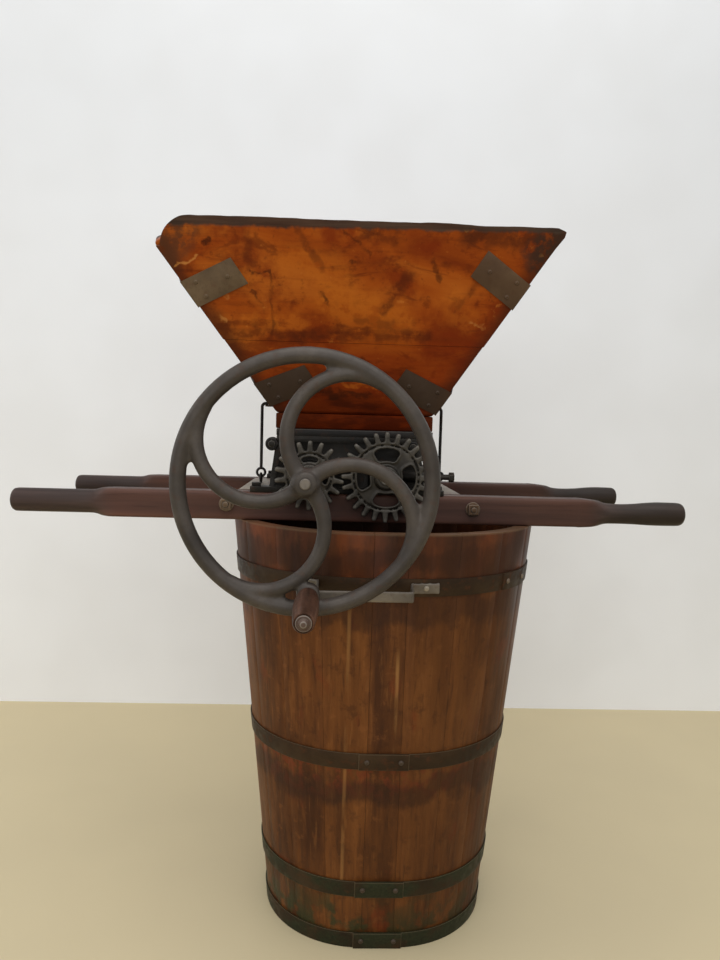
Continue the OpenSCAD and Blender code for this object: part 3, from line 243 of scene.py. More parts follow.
# Old damage on the hopper's front: ends of a stroke in X and Z, half width, softness, depth and colour
DARK_MARK = tint(44, 20, 10)
PALE_MARK = tint(196, 132, 66)
BROWN_MARK = tint(82, 34, 13)
AMBER_MARK = tint(190, 104, 30)
SOOT_MARK = tint(70, 34, 17)
LEFT_CORNER_MARK = tint(82, 50, 32)
RIGHT_CORNER_MARK = tint(58, 42, 33)
HOPPER_MARKS = (
    ((-0.109, 1.121), (0.003, 1.096), 0.012, 0.030, 0.55, AMBER_MARK),
    ((-0.177, 1.178), (-0.100, 1.165), 0.010, 0.030, 0.40, AMBER_MARK),
    ((-0.245, 1.080), (-0.160, 1.088), 0.006, 0.016, 0.45, AMBER_MARK),
    ((0.095, 1.127), (0.120, 1.100), 0.008, 0.025, 0.35, AMBER_MARK),
    ((-0.362, 1.222), (-0.392, 1.190), 0.022, 0.024, 0.80, LEFT_CORNER_MARK),
    ((-0.371, 1.167), (-0.333, 1.182), 0.0008, 0.003, 0.65, PALE_MARK),
    ((-0.314, 1.207), (-0.312, 1.206), 0.0035, 0.004, 0.80, DARK_MARK),
    ((-0.243, 1.159), (-0.207, 1.160), 0.0006, 0.003, 0.70, DARK_MARK),
    ((-0.247, 1.216), (-0.244, 1.163), 0.0012, 0.009, 0.50, BROWN_MARK),
    ((-0.208, 1.157), (-0.204, 1.062), 0.0006, 0.004, 0.45, DARK_MARK),
    ((-0.162, 1.224), (-0.145, 1.197), 0.0015, 0.009, 0.50, BROWN_MARK),
    ((-0.145, 1.197), (-0.126, 1.172), 0.0015, 0.008, 0.50, BROWN_MARK),
    ((-0.130, 1.133), (-0.114, 1.115), 0.0008, 0.004, 0.70, DARK_MARK),
    ((0.022, 1.163), (-0.018, 1.106), 0.0025, 0.011, 0.70, BROWN_MARK),
    ((-0.049, 1.228), (-0.005, 1.218), 0.0050, 0.016, 0.55, BROWN_MARK),
    ((-0.074, 1.181), (-0.070, 1.178), 0.0010, 0.005, 0.60, DARK_MARK),
    ((-0.312, 1.072), (-0.160, 1.060), 0.0030, 0.013, 0.65, BROWN_MARK),
    ((-0.160, 1.062), (0.060, 1.068), 0.0030, 0.014, 0.65, BROWN_MARK),
    ((-0.142, 1.002), (0.018, 0.993), 0.0025, 0.012, 0.50, BROWN_MARK),
    ((-0.300, 1.140), (-0.286, 1.118), 0.0008, 0.004, 0.45, PALE_MARK),
    ((-0.238, 1.130), (-0.224, 1.098), 0.0006, 0.003, 0.55, DARK_MARK),
    ((0.060, 1.190), (0.074, 1.160), 0.0006, 0.004, 0.50, DARK_MARK),
    ((-0.090, 1.224), (-0.040, 1.190), 0.0006, 0.004, 0.45, DARK_MARK),
    ((0.150, 1.172), (0.105, 1.110), 0.0010, 0.010, 0.45, BROWN_MARK),
    ((-0.060, 1.090), (0.040, 1.075), 0.0020, 0.008, 0.50, BROWN_MARK),
    ((0.132, 1.097), (0.154, 1.087), 0.0006, 0.003, 0.45, PALE_MARK),
    ((-0.296, 1.092), (-0.286, 1.080), 0.0008, 0.004, 0.50, PALE_MARK),
    ((0.113, 1.235), (0.117, 1.236), 0.0020, 0.003, 0.70, PALE_MARK),
    ((0.237, 1.203), (0.242, 1.200), 0.0014, 0.003, 0.65, PALE_MARK),
    ((0.123, 1.229), (0.243, 1.224), 0.0060, 0.024, 0.65, SOOT_MARK),
    ((0.268, 1.240), (0.240, 1.200), 0.0140, 0.022, 0.90, RIGHT_CORNER_MARK),
    ((-0.130, 0.968), (0.030, 0.961), 0.0020, 0.007, 0.65, DARK_MARK),
    ((-0.120, 1.030), (-0.020, 1.026), 0.0015, 0.006, 0.50, DARK_MARK),
    ((-0.100, 0.985), (0.000, 0.981), 0.0012, 0.005, 0.45, AMBER_MARK),
    ((-0.110, 1.016), (-0.060, 1.012), 0.0015, 0.006, 0.45, AMBER_MARK),
)


def hopper_wood(name, along, marks, sheen=0.05, border_depth=0.80):
    """Amber varnished boards: cloudy, stained, redder at the foot, with dark borders and a dark mouth."""
    look = Look(name, coat=0.6 * sheen, coat_roughness=0.32, specular=sheen)
    grain = look.noise(150, look.stretched(along), detail=6)
    figure = look.noise(9, look.stretched(eased(along, 0.4)), detail=5, twist=0.9)
    vein = look.noise(20, look.stretched(eased(along, 0.25)), detail=6, rough=0.65, twist=1.6)
    cloud = look.noise(11, detail=6, rough=0.62)
    fleck = look.noise(48, detail=6, rough=0.62)
    colour = look.tones(figure, (0.30, tint(118, 47, 12)), (0.50, tint(156, 73, 18)),
                        (0.70, tint(180, 98, 31)))
    colour = look.blend(look.grade(cloud, 0.46, 0.66, 0.0, 0.75), colour, tint(114, 38, 9))
    colour = look.blend(look.grade(vein, 0.54, 0.66, 0.0, 0.60), colour, tint(92, 36, 11))
    colour = look.blend(look.grade(grain, 0.50, 0.75, 0.0, 0.30), colour, tint(98, 42, 12))
    colour = look.blend(look.grade(fleck, 0.56, 0.70, 0.0, 0.42), colour, tint(80, 28, 9))
    speck = look.noise(120, detail=3)
    colour = look.blend(look.grade(speck, 0.64, 0.70, 0.0, 0.3), colour, tint(70, 30, 12))
    colour = look.blend(look.grade(fleck, 0.36, 0.28, 0.0, 0.35), colour, tint(204, 126, 52))
    foot = look.grade(look.z, HOPPER_SEAM_Z - 0.03, HOPPER_SEAM_Z + 0.015, 0.60, 0.0)
    colour = look.blend(foot, colour, tint(116, 38, 8))
    ragged = look.calc("MULTIPLY", look.calc("SUBTRACT", cloud, 0.5), 0.07)
    sunk = look.grade(look.calc("ADD", look.z, ragged), HOPPER_FOOT_Z, HOPPER_FOOT_Z + 0.06, 0.75, 0.0)
    colour = look.blend(sunk, colour, tint(80, 24, 6))
    smear = look.noise(24, look.stretched(eased(along, 0.25)), detail=6, rough=0.62)
    low = look.grade(look.z, HOPPER_SEAM_Z - 0.06, HOPPER_SEAM_Z - 0.01, 1.0, 0.0)
    soaked = look.calc("MULTIPLY", low, look.grade(smear, 0.50, 0.62, 0.0, 0.62))
    colour = look.blend(soaked, colour, tint(48, 15, 6))
    rubbed = look.calc("MULTIPLY", low, look.grade(smear, 0.46, 0.36, 0.0, 0.55))
    colour = look.blend(rubbed, colour, tint(152, 62, 20))
    risen = look.calc("SUBTRACT", look.z, HOPPER_FOOT_Z)
    for spread, side in ((HOPPER_LEFT_SPREAD, -1), (HOPPER_RIGHT_SPREAD, 1)):
        half = look.calc("ADD", look.calc("MULTIPLY", risen, spread), HOPPER_FOOT_HALF)
        off = look.calc("MULTIPLY", look.calc("SUBTRACT", look.x, HOPPER_X), side)
        border = look.calc("ADD", look.calc("SUBTRACT", half, off), ragged)
        colour = look.blend(look.grade(border, 0.004, 0.040, border_depth, 0.0), colour, tint(70, 32, 17))
    broken = look.grade(fleck, 0.38, 0.54, 0.25, 1.0)
    where = look.warped(38, 0.035)
    for start, end, half, soft, depth, stain in marks:
        mark = look.calc("MULTIPLY", look.stroke(where, start, end, half, soft), broken)
        colour = look.blend(look.calc("MULTIPLY", mark, depth), colour, stain)
    # A dark grey band along the mouth: grey worn wood, with painted shade on its rounded top edge.
    tilt = look.calc("MULTIPLY", look.calc("SUBTRACT", look.x, HOPPER_X), -0.014)
    worn = look.calc("ADD", look.calc("ADD", look.z, tilt), look.calc("MULTIPLY", fleck, 0.012))
    top = look.grade(worn, HOPPER_MOUTH_Z - 0.010, HOPPER_MOUTH_Z - 0.004, 0.0, 0.94)
    colour = look.blend(top, colour, look.tones(grain, (0.3, tint(52, 41, 35)), (0.7, tint(80, 66, 56))))
    rough = look.grade(cloud, 0.3, 0.7, 0.38, 0.56)
    return look.done(colour, rough, (grain, 0.0005, 0.3), (fleck, 0.0015, 0.25))


# Dark rings on the staves under the hoops: middle and half height in Z, and depth
STAIN_RINGS = ((0.298, 0.012, 0.65), (0.615, 0.016, 0.55), (0.690, 0.010, 0.6))
# Pale splits along two joints of the staves: place in X, lower and upper end in Z, and depth
PALE_SPLITS = ((0.0166, 0.37, 0.51, 0.6), (-0.0645, 0.13, 0.60, 0.35))
# Height over which paint is left at the tub's foot
PAINT_FULL_Z = 0.035
PAINT_END_Z = 0.125


def tub_wood(name, along, light):
    """Old brown staves with upright streaks, stains under the hoops and paint left near the foot."""
    look = Look(name, coat=0.04, coat_roughness=0.4, specular=0.16)
    grain = look.noise(150, look.stretched(along), detail=6)
    streak = look.noise(26, look.stretched(along), detail=4, twist=0.4)
    cloud = look.noise(9.0, look.stretched(eased(along, 0.4)), detail=6, rough=0.6)
    fleck = look.noise(48, detail=6, rough=0.6)
    tone = look.stored("tone")
    mixed = look.calc("ADD", look.calc("MULTIPLY", streak, 0.85), look.calc("MULTIPLY", tone, 0.15))
    colour = look.tones(mixed, (0.32, tint(74, 41, 18)), (0.50, tint(103, 60, 26)), (0.70, tint(130, 79, 36)))
    colour = look.blend(look.grade(cloud, 0.54, 0.70, 0.0, 0.5), colour, tint(60, 33, 17))
    colour = look.blend(look.grade(grain, 0.52, 0.74, 0.0, 0.55), colour, tint(52, 30, 16))
    colour = look.blend(look.grade(grain, 0.44, 0.30, 0.0, 0.30), colour, tint(140, 90, 46))
    colour = look.blend(look.grade(fleck, 0.54, 0.70, 0.0, 0.45), colour, tint(56, 30, 15))
    colour = look.blend(look.grade(fleck, 0.43, 0.30, 0.0, 0.30), colour, tint(140, 86, 44))
    red = look.noise(18, look.stretched((1, 1, 0.6)), detail=6, rough=0.6)
    colour = look.blend(look.grade(red, 0.58, 0.72, 0.0, 0.55), colour, tint(118, 50, 20))
    head = look.grade(look.z, HEAD_STAIN_Z - 0.03, HEAD_STAIN_Z, 0.0, 0.7)
    stained = look.calc("ADD", look.calc("MULTIPLY", cloud, 0.6), look.calc("MULTIPLY", streak, 0.4))
    stain = look.tones(stained, (0.42, tint(118, 60, 30)), (0.50, tint(78, 41, 26)), (0.58, tint(34, 21, 19)))
    colour = look.blend(head, colour, stain)
    patch = look.calc("MULTIPLY", look.band(look.z, PATCH_Z, 0.020, 0.02), look.grade(fleck, 0.47, 0.58))
    colour = look.blend(look.calc("MULTIPLY", patch, 0.6), colour, tint(118, 54, 28))
    ragged = look.calc("ADD", look.z, look.calc("MULTIPLY", look.calc("SUBTRACT", red, 0.5), 0.11))
    for middle, half, depth in STAIN_RINGS:
        under = look.band(ragged, middle, half, 0.022)
        colour = look.blend(look.calc("MULTIPLY", under, depth), colour, tint(48, 28, 19))
    for seam, low, high, depth in PALE_SPLITS:
        shred = look.grade(look.noise(30, look.stretched((1, 1, 0.2))), 0.42, 0.62)
        strip = look.calc("MULTIPLY", look.band(look.x, seam, 0.0012, 0.003), shred)
        strip = look.calc("MULTIPLY", strip, look.band(look.z, (low + high) / 2, (high - low) / 2, 0.05))
        colour = look.blend(look.calc("MULTIPLY", strip, depth), colour, tint(176, 128, 74))
    foot = look.grade(ragged, PAINT_FULL_Z, PAINT_END_Z, 1.0, 0.0)
    paint = look.calc("MULTIPLY", foot, look.grade(look.noise(30, detail=6), 0.44, 0.58))
    colour = look.blend(look.calc("MULTIPLY", paint, 0.8), colour, tint(42, 54, 32))
    # Darker towards the right: painted shade on the side turned away from the light.
    colour = look.blend(look.grade(look.x, -0.06, 0.10, 0.0, 0.42), colour, tint(54, 28, 11))
    rim = look.grade(look.z, RIM_Z - 0.004, RIM_Z - 0.001, 0.0, 0.45)
    colour = look.blend(rim, colour, tint(112, 90, 68))
    colour = look.blend(look.calc("MULTIPLY", look.stored("wear"), light), colour, tint(122, 92, 62))
    rough = look.grade(cloud, 0.3, 0.7, 0.40, 0.62)
    return look.done(colour, rough, (grain, 0.0008, 0.4), (fleck, 0.001, 0.2))


def beam_wood(name, along, dusty_and_top_lit):
    """Dark red-brown stained timber, darker where hands held it and with painted shade to the right."""
    look = Look(name, coat=0.04, coat_roughness=0.45, specular=0.2)
    grain = look.noise(190, look.stretched(along), detail=6)
    streak = look.noise(30, look.stretched(along), detail=4)
    cloud = look.noise(9, detail=4)
    colour = look.tones(streak, (0.30, tint(60, 41, 35)), (0.52, tint(85, 57, 48)), (0.72, tint(108, 73, 60)))
    colour = look.blend(look.grade(grain, 0.52, 0.74, 0.0, 0.5), colour, tint(50, 34, 30))
    colour = look.blend(look.grade(cloud, 0.55, 0.75, 0.0, 0.4), colour, tint(108, 56, 40))
    off = look.calc("ABSOLUTE", look.calc("SUBTRACT", look.x, BEAM_MIDDLE_X))
    ragged = look.calc("ADD", off, look.calc("MULTIPLY", look.calc("SUBTRACT", cloud, 0.5), 0.08))
    # Darker towards the right: painted shade on the side turned away from the light.
    colour = look.blend(look.grade(look.x, -0.10, 0.25, 0.0, 0.40), colour, tint(50, 33, 26))
    held = look.tones(streak, (0.34, tint(40, 33, 31)), (0.50, tint(70, 58, 54)), (0.66, tint(104, 86, 79)))
    both_ends = look.grade(ragged, BEAM_HALF - 0.19, BEAM_HALF - 0.13, 0.0, 0.85)
    colour = look.blend(both_ends, colour, held)
    # The right grip is darker still: painted shade.
    right_grip_shade = look.grade(look.x, BEAM_HALF - 0.26, BEAM_HALF - 0.16, 0.0, 0.7)
    colour = look.blend(right_grip_shade, colour, tint(32, 27, 21))
    # Upward faces turn paler: partly a real dusting, partly painted light falling on them from above.
    if dusty_and_top_lit:
        geometry = look.add("ShaderNodeNewGeometry")
        facing = look.add("ShaderNodeSeparateXYZ")
        look.feed(facing.inputs[0], geometry.outputs["True Normal"])
        upward = look.grade(facing.outputs[2], 0.6, 0.9)
        dust_and_top_light = look.calc("MULTIPLY", upward, look.grade(cloud, 0.30, 0.55, 0.45, 0.95))
        colour = look.blend(dust_and_top_light, colour, tint(150, 140, 126))
    colour = look.blend(look.calc("MULTIPLY", look.stored("wear"), 0.5), colour, tint(128, 104, 88))
    rough = look.grade(cloud, 0.3, 0.7, 0.42, 0.60)
    return look.done(colour, rough, (grain, 0.0007, 0.4), (streak, 0.001, 0.15))


def grip_wood(name):
    """Brown turned wood of the crank grip, polished by hands."""
    look = Look(name, coat=0.03, coat_roughness=0.3, specular=0.08)
    grain = look.noise(260, look.stretched((1, 0.05, 1)), detail=6)
    streak = look.noise(60, look.stretched((1, 0.08, 1)), detail=4)
    cloud = look.noise(40, detail=4)
    colour = look.tones(streak, (0.30, tint(50, 34, 26)), (0.52, tint(76, 52, 40)), (0.72, tint(104, 74, 58)))
    colour = look.blend(look.grade(grain, 0.52, 0.74, 0.0, 0.5), colour, tint(48, 32, 26))
    colour = look.blend(look.calc("MULTIPLY", look.stored("wear"), 0.6), colour, tint(140, 112, 92))
    return look.done(colour, look.grade(cloud, 0.3, 0.7, 0.34, 0.52), (grain, 0.0004, 0.4))


# Materials: metal

def iron(name, dark, middle, pale, rust, metallic=0.45, rough=(0.40, 0.58), bright=0.35,
         low_z=None, brown_x=None):
    """Old iron: mottled, with rust in its clouds and paler worn edges.

    Below low_z it is darker and redder, and past brown_x it is browner.
    """
    look = Look(name, metallic=metallic, specular=0.3)
    cloud = look.noise(14, detail=5)
    fine = look.noise(210, detail=4)
    fleck = look.noise(62, detail=5)
    colour = look.tones(cloud, (0.30, dark), (0.52, middle), (0.74, pale))
    colour = look.blend(look.grade(fleck, 0.55, 0.72, 0.0, rust), colour, tint(84, 54, 36))
    colour = look.blend(look.grade(fine, 0.50, 0.72, 0.0, 0.3), colour, dark)
    if low_z is not None:
        low = look.grade(look.z, low_z - 0.02, low_z + 0.02, 0.92, 0.0)
        colour = look.blend(low, colour, tint(50, 33, 19))
    if brown_x is not None:
        right = look.grade(look.x, brown_x - 0.03, brown_x + 0.03, 0.0, 0.6)
        colour = look.blend(right, colour, tint(72, 46, 25))
    colour = look.blend(look.calc("MULTIPLY", look.stored("wear"), bright), colour, tint(166, 160, 150))
    roughness = look.grade(fleck, 0.3, 0.7, *rough)
    return look.done(colour, roughness, (fine, 0.0004, 0.35), (fleck, 0.001, 0.12))


def hoop_iron(name):
    """Brown hoop iron with traces of olive paint on the two lower hoops."""
    look = Look(name, metallic=0.1, specular=0.2)
    cloud = look.noise(11, detail=5)
    fleck = look.noise(70, detail=5)
    fine = look.noise(240, detail=3)
    colour = look.tones(cloud, (0.30, tint(36, 24, 14)), (0.52, tint(50, 35, 20)), (0.74, tint(66, 48, 30)))
    colour = look.blend(look.grade(fleck, 0.54, 0.70, 0.0, 0.55), colour, tint(84, 48, 26))
    low = look.grade(look.z, 0.13, 0.20, 1.0, 0.0)
    paint = look.calc("MULTIPLY", low, look.grade(look.noise(17, detail=5), 0.40, 0.56, 0.15, 0.85))
    colour = look.blend(paint, colour, look.tones(fine, (0.3, tint(28, 34, 20)), (0.7, tint(44, 51, 32))))
    colour = look.blend(look.calc("MULTIPLY", look.stored("wear"), 0.35), colour, tint(122, 106, 82))
    rough = look.grade(fleck, 0.3, 0.7, 0.42, 0.64)
    return look.done(colour, rough, (fine, 0.0004, 0.35), (fleck, 0.0008, 0.2))


def gear_iron(name, axis, tip):
    """Gear iron with bright rubbed tooth tips."""
    look = Look(name, metallic=0.55)
    cloud = look.noise(24, detail=5)
    fine = look.noise(230, detail=4)
    colour = look.tones(cloud, (0.30, tint(42, 39, 34)), (0.52, tint(65, 61, 55)), (0.74, tint(90, 85, 77)))
    colour = look.blend(look.grade(fine, 0.50, 0.72, 0.0, 0.4), colour, tint(48, 42, 37))
    off_axis = look.vector("DISTANCE", look.stretched((1, 0, 1)), (axis.x, 0, axis.z))
    rubbed = look.grade(off_axis, tip - 0.010, tip - 0.002, 0.0, 0.35)
    colour = look.blend(rubbed, colour, tint(128, 123, 114))
    colour = look.blend(look.calc("MULTIPLY", look.stored("wear"), 0.4), colour, tint(140, 134, 124))
    rough = look.grade(cloud, 0.3, 0.7, 0.36, 0.56)
    return look.done(colour, rough, (fine, 0.0004, 0.4), (cloud, 0.001, 0.1))


# Small iron pieces to the right of this place are browner
BROWN_X = 0.10
# Radii of the tooth tips
DRIVE_TIP = 0.060
DRIVEN_TIP = 0.078

LOOKS = {
    "tub_wood": tub_wood("staves", ALONG_Z, 0.12),
    "bottom_wood": tub_wood("bottom_boards", ALONG_X, 0.1),
    "hopper_wood": hopper_wood("front_boards", ALONG_X, HOPPER_MARKS),
    "collar_wood": hopper_wood("collar", ALONG_X, (), 0.01),
    "hopper_rear": hopper_wood("rear_boards", ALONG_X, ()),
    "hopper_side": hopper_wood("side_boards", ALONG_Y, (), border_depth=0.30),
    "beam_wood": beam_wood("beams", ALONG_X, False),
    "crossbar_wood": beam_wood("crossbars", ALONG_Y, True),
    "grip_wood": grip_wood("grip"),
    "hoop_iron": hoop_iron("hoops"),
    "handle_iron": iron("handle", tint(84, 77, 69), tint(118, 110, 100), tint(146, 138, 127),
                        rust=0.30, metallic=0.5),
    "wheel_iron": iron("wheel", tint(57, 52, 48), tint(72, 66, 61), tint(86, 79, 73),
                       rust=0.25, metallic=0.3, rough=(0.40, 0.54), bright=0.2),
    "box_iron": iron("box", tint(24, 22, 19), tint(36, 33, 29), tint(58, 54, 48), rust=0.25, bright=0.2),
    # Near black: the seat's dark iron, darkened further as painted shade under the hopper collar; the stay
    # nuts share it.
    "seat_iron": iron("seat", tint(18, 16, 15), tint(27, 24, 22), tint(40, 36, 33),
                      rust=0.2, metallic=0.2, bright=0.06),
    "pin_iron": iron("pin", tint(78, 62, 54), tint(102, 84, 74), tint(124, 106, 95), rust=0.3, metallic=0.3),
    "shaft_iron": iron("shaft", tint(92, 86, 78), tint(118, 111, 102), tint(140, 133, 122),
                       rust=0.2, metallic=0.5),
    "rivet_iron": iron("rivets", tint(120, 110, 96), tint(156, 146, 130), tint(184, 174, 158),
                       rust=0.2, metallic=0.1, bright=0.04, low_z=HANDLE_Z - 0.05, brown_x=BROWN_X),
    "roller_iron": iron("rollers", tint(46, 43, 40), tint(66, 62, 58), tint(94, 90, 84), rust=0.35),
    "drive_gear_iron": gear_iron("drive_gear", DRIVE_AXIS, DRIVE_TIP),
    "driven_gear_iron": gear_iron("driven_gear", DRIVEN_AXIS, DRIVEN_TIP),
    "strap_iron": iron("straps", tint(70, 54, 36), tint(96, 77, 54), tint(116, 96, 70), rust=0.40,
                       metallic=0.05, rough=(0.55, 0.72), bright=0.10, low_z=HOPPER_SEAM_Z, brown_x=BROWN_X),
    "hook_iron": iron("hooks", tint(26, 24, 23), tint(42, 39, 37), tint(66, 62, 58), rust=0.2),
    "bolt_iron": iron("bolts", tint(84, 68, 53), tint(120, 100, 79), tint(150, 130, 107),
                      rust=0.3, metallic=0.4, bright=0.2, brown_x=BROWN_X),
    "steel": iron("steel", tint(112, 106, 98), tint(146, 140, 131), tint(176, 170, 160),
                  rust=0.2, metallic=0.7, rough=(0.28, 0.46)),
    "bronze": iron("bronze", tint(92, 62, 28), tint(134, 94, 44), tint(166, 124, 64),
                   rust=0.1, metallic=0.8, rough=(0.30, 0.46)),
}


# Shared mesh work

def add_object(name, mesh):
    thing = bpy.data.objects.new(name, mesh)
    bpy.context.scene.collection.objects.link(thing)
    return thing


def dress(thing, look, slot, *nodes):
    """Gives a piece its material and lets it stand for CAD nodes, riding on their body."""
    thing.data.materials.clear()
    thing.data.materials.append(LOOKS[look])
    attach(thing, frame["nodes"][nodes[0]]["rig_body"])
    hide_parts(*nodes)


def smooth_faces(mesh, angle=35):
    """Smooths a mesh over all edges but those sharper than an angle in degrees."""
    mesh.shade_smooth()
    mesh.set_sharp_from_angle(angle=math.radians(angle))


def point_places(mesh):
    place = np.empty(len(mesh.vertices) * 3)
    mesh.vertices.foreach_get("co", place)
    return place.reshape(-1, 3)


def edge_ends(mesh):
    ends = np.empty(len(mesh.edges) * 2, dtype=np.int64)
    mesh.edges.foreach_get("vertices", ends)
    return ends.reshape(-1, 2).T


def neighbour_means(place, ends):
    """The mean place of the points that each point is joined to."""
    here = np.concatenate((ends[0], ends[1]))
    there = np.concatenate((ends[1], ends[0]))
    links = np.bincount(here, minlength=len(place))
    totals = [np.bincount(here, weights=place[there, axis], minlength=len(place)) for axis in range(3)]
    return np.stack(totals, axis=1) / links[:, None]


def even_out(name, mesh, voxel, rounds):
    """An object of a mesh remade at an even size and smoothed, as wear and casting round its edges."""
    thing = add_object(name, mesh)
    remesh = thing.modifiers.new("even", "REMESH")
    remesh.mode = "VOXEL"
    remesh.voxel_size = voxel
    graph = bpy.context.evaluated_depsgraph_get()
    evened = bpy.data.meshes.new_from_object(thing.evaluated_get(graph))
    thing.modifiers.clear()
    thing.data = evened
    place = point_places(evened)
    ends = edge_ends(evened)
    for _ in range(rounds):
        place += (neighbour_means(place, ends) - place) * 0.5
    evened.vertices.foreach_set("co", place.ravel())
    evened.update()
    evened.shade_smooth()
    return thing


def mark_wear(mesh, gain):
    """Stores how far each point stands out from its neighbours, for the paler worn edges."""
    place = point_places(mesh)
    ends = edge_ends(mesh)
    normal = np.empty(len(place) * 3, dtype=np.float32)
    mesh.vertex_normals.foreach_get("vector", normal)
    step = np.linalg.norm(place[ends[0]] - place[ends[1]], axis=1).mean()
    out = ((place - neighbour_means(place, ends)) * normal.reshape(-1, 3)).sum(axis=1) / step
    wear = mesh.attributes.new("wear", "FLOAT", "POINT")
    wear.data.foreach_set("value", np.clip(out * gain, 0, 1).astype(np.float32))


def islands(work):
    """The separate solids of a mesh, each as a list of its points."""
    work.verts.index_update()
    seen = set()
    for start in work.verts:
        if start.index in seen:
            continue
        seen.add(start.index)
        group = [start]
        for vert in group:
            for edge in vert.link_edges:
                other = edge.other_vert(vert)
                if other.index not in seen:
                    seen.add(other.index)
                    group.append(other)
        yield group


def cad_copy(node):
    """A welded copy of a CAD node's mesh."""
    work = bmesh.new()
    work.from_mesh(frame["nodes"][node].data)
    bmesh.ops.remove_doubles(work, verts=work.verts, dist=1e-6)
    return work


def bevelled(node, width, skip=None):
    """A copy of a CAD node with worn edges: new edge faces are marked as wear, each solid has its tone.

    Edges that the skip function picks out stay as they are.
    """
    work = cad_copy(node)
    bmesh.ops.dissolve_limit(work, angle_limit=math.radians(0.5), verts=work.verts, edges=work.edges)
    sharp = [edge for edge in work.edges
             if len(edge.link_faces) == 2 and edge.calc_face_angle(0) > math.radians(30)
             and not (skip and skip(edge))]
    wear = work.faces.layers.float.new("wear")
    made = bmesh.ops.bevel(work, geom=sharp, offset=width, offset_type="OFFSET", segments=2, profile=0.5,
                           affect="EDGES", clamp_overlap=True)
    for face in made["faces"]:
        face[wear] = 1.0
    tone = work.verts.layers.float.new("tone")
    for group in islands(work):
        shade = shuffle.random()
        for vert in group:
            vert[tone] = shade
    mesh = bpy.data.meshes.new(node + "_worn")
    work.to_mesh(mesh)
    work.free()
    smooth_faces(mesh)
    return add_object(node + "_worn", mesh)


def to_mesh(work, name):
    """Ends the work on a mesh, with its faces turned outwards."""
    bmesh.ops.recalc_face_normals(work, faces=work.faces)
    mesh = bpy.data.meshes.new(name)
    work.to_mesh(mesh)
    work.free()
    return mesh


def worn_copy(node, voxel, rounds):
    """An object of a CAD node with its edges rounded by wear."""
    return even_out(node + "_worn", to_mesh(cad_copy(node), node + "_raw"), voxel, rounds)


def sweep(work, path, sections, sides=16, closed=False):
    """Adds a bar along a path that lies across the view; each section gives half width and half depth."""
    count = len(path)
    rings = []
    for i, point in enumerate(path):
        before = path[i - 1] if closed or i > 0 else point
        after = path[(i + 1) % count] if closed or i < count - 1 else point
        across = (after - before).normalized().cross(DEPTH)
        ring = []
        for k in range(sides):
            turn = math.tau * k / sides
            side = across * sections[i][0] * math.cos(turn)
            ring.append(work.verts.new(point + side + DEPTH * sections[i][1] * math.sin(turn)))
        rings.append(ring)
    follow = rings[1:] + rings[:1] if closed else rings[1:]
    for ring, ahead in zip(rings, follow):
        for k in range(sides):
            work.faces.new((ring[k], ring[(k + 1) % sides], ahead[(k + 1) % sides], ahead[k]))
    if not closed:
        work.faces.new(rings[0])
        work.faces.new(rings[-1])


def plate(work, front, back, *loops):
    """Adds a flat plate between two places along Y: an outline in X and Z, then any holes in it."""
    near = [work.verts.new((x, front, z)) for loop in loops for x, z in loop]
    far = [work.verts.new((x, back, z)) for loop in loops for x, z in loop]
    for face in tessellate_polygon([[Vector((x, z, 0)) for x, z in loop] for loop in loops]):
        work.faces.new([near[i] for i in face])
        work.faces.new([far[i] for i in reversed(face)])
    start = 0
    for loop in loops:
        count = len(loop)
        for i in range(count):
            a, b = start + i, start + (i + 1) % count
            work.faces.new((near[a], near[b], far[b], far[a]))
        start += count


def ring_place(axis, radius, turn):
    """X and Z of a point on a ring round a line along Y."""
    return (axis.x + radius * math.cos(turn), axis.z + radius * math.sin(turn))


def turned(work, axis, profile, sides=64):
    """Adds a solid turned about a line along Y: the profile gives places along Y and radii."""
    rings = []
    for y, radius in profile:
        ring = []
        for k in range(sides):
            x, z = ring_place(axis, radius, math.tau * k / sides)
            ring.append(work.verts.new((x, y, z)))
        rings.append(ring)
    for ring, ahead in zip(rings, rings[1:]):
        for k in range(sides):
            work.faces.new((ring[k], ring[(k + 1) % sides], ahead[(k + 1) % sides], ahead[k]))
    work.faces.new(rings[0])
    work.faces.new(rings[-1])


# Flywheel: one casting with swelling spokes, webs where they run into the rim, and a stepped hub

SPOKES = 4
SPOKE_PHASE = math.radians(-43.5)
SPOKE_FROM = math.radians(178)
SPOKE_TO = math.radians(14)
SPOKE_HALF = 0.0116
SPOKE_HALF_DEPTH = 0.0110
WEB_FROM = math.radians(24)
WEB_TO = math.radians(78)
WEB_HALF = 0.0055
WEB_HOLLOW = 0.018
HUB_FRONT = WHEEL.y - 0.019
HUB_BACK = WHEEL.y + 0.030
CRANK = Vector((-0.129672, -0.307, 0.65436))


def spoke_point(phase, turn):
    """A point of a curved spoke: the arc starts at the hub and ends in the rim."""
    arc = WHEEL_RIM / 2
    x = arc * (1 + math.cos(turn))
    z = arc * math.sin(turn)
    across = x * math.cos(phase) - z * math.sin(phase)
    up = x * math.sin(phase) + z * math.cos(phase)
    return WHEEL + Vector((across, 0, up))


def rim_point(turn):
    return WHEEL + Vector((math.cos(turn), 0, math.sin(turn))) * WHEEL_RIM


def web_loop(phase):
    """Outline of the flat web between the end of a spoke and the rim, hollowed at its open side."""
    steps = 12
    turns = [WEB_FROM + (WEB_TO - WEB_FROM) * i / steps for i in range(steps + 1)]
    spoke_side = [spoke_point(phase, turn) for turn in turns]
    rim_side = [rim_point(phase + turn / 2) for turn in turns]
    first, last = spoke_side[-1], rim_side[-1]
    inward = (rim_side[-3] - last).normalized()
    hollow = []
    for i in range(1, steps):
        share = i / steps
        hollow.append(first.lerp(last, share) + inward * WEB_HOLLOW * (1 - abs(2 * share - 1)))
    return [(p.x, p.z) for p in spoke_side + hollow + rim_side[::-1]]


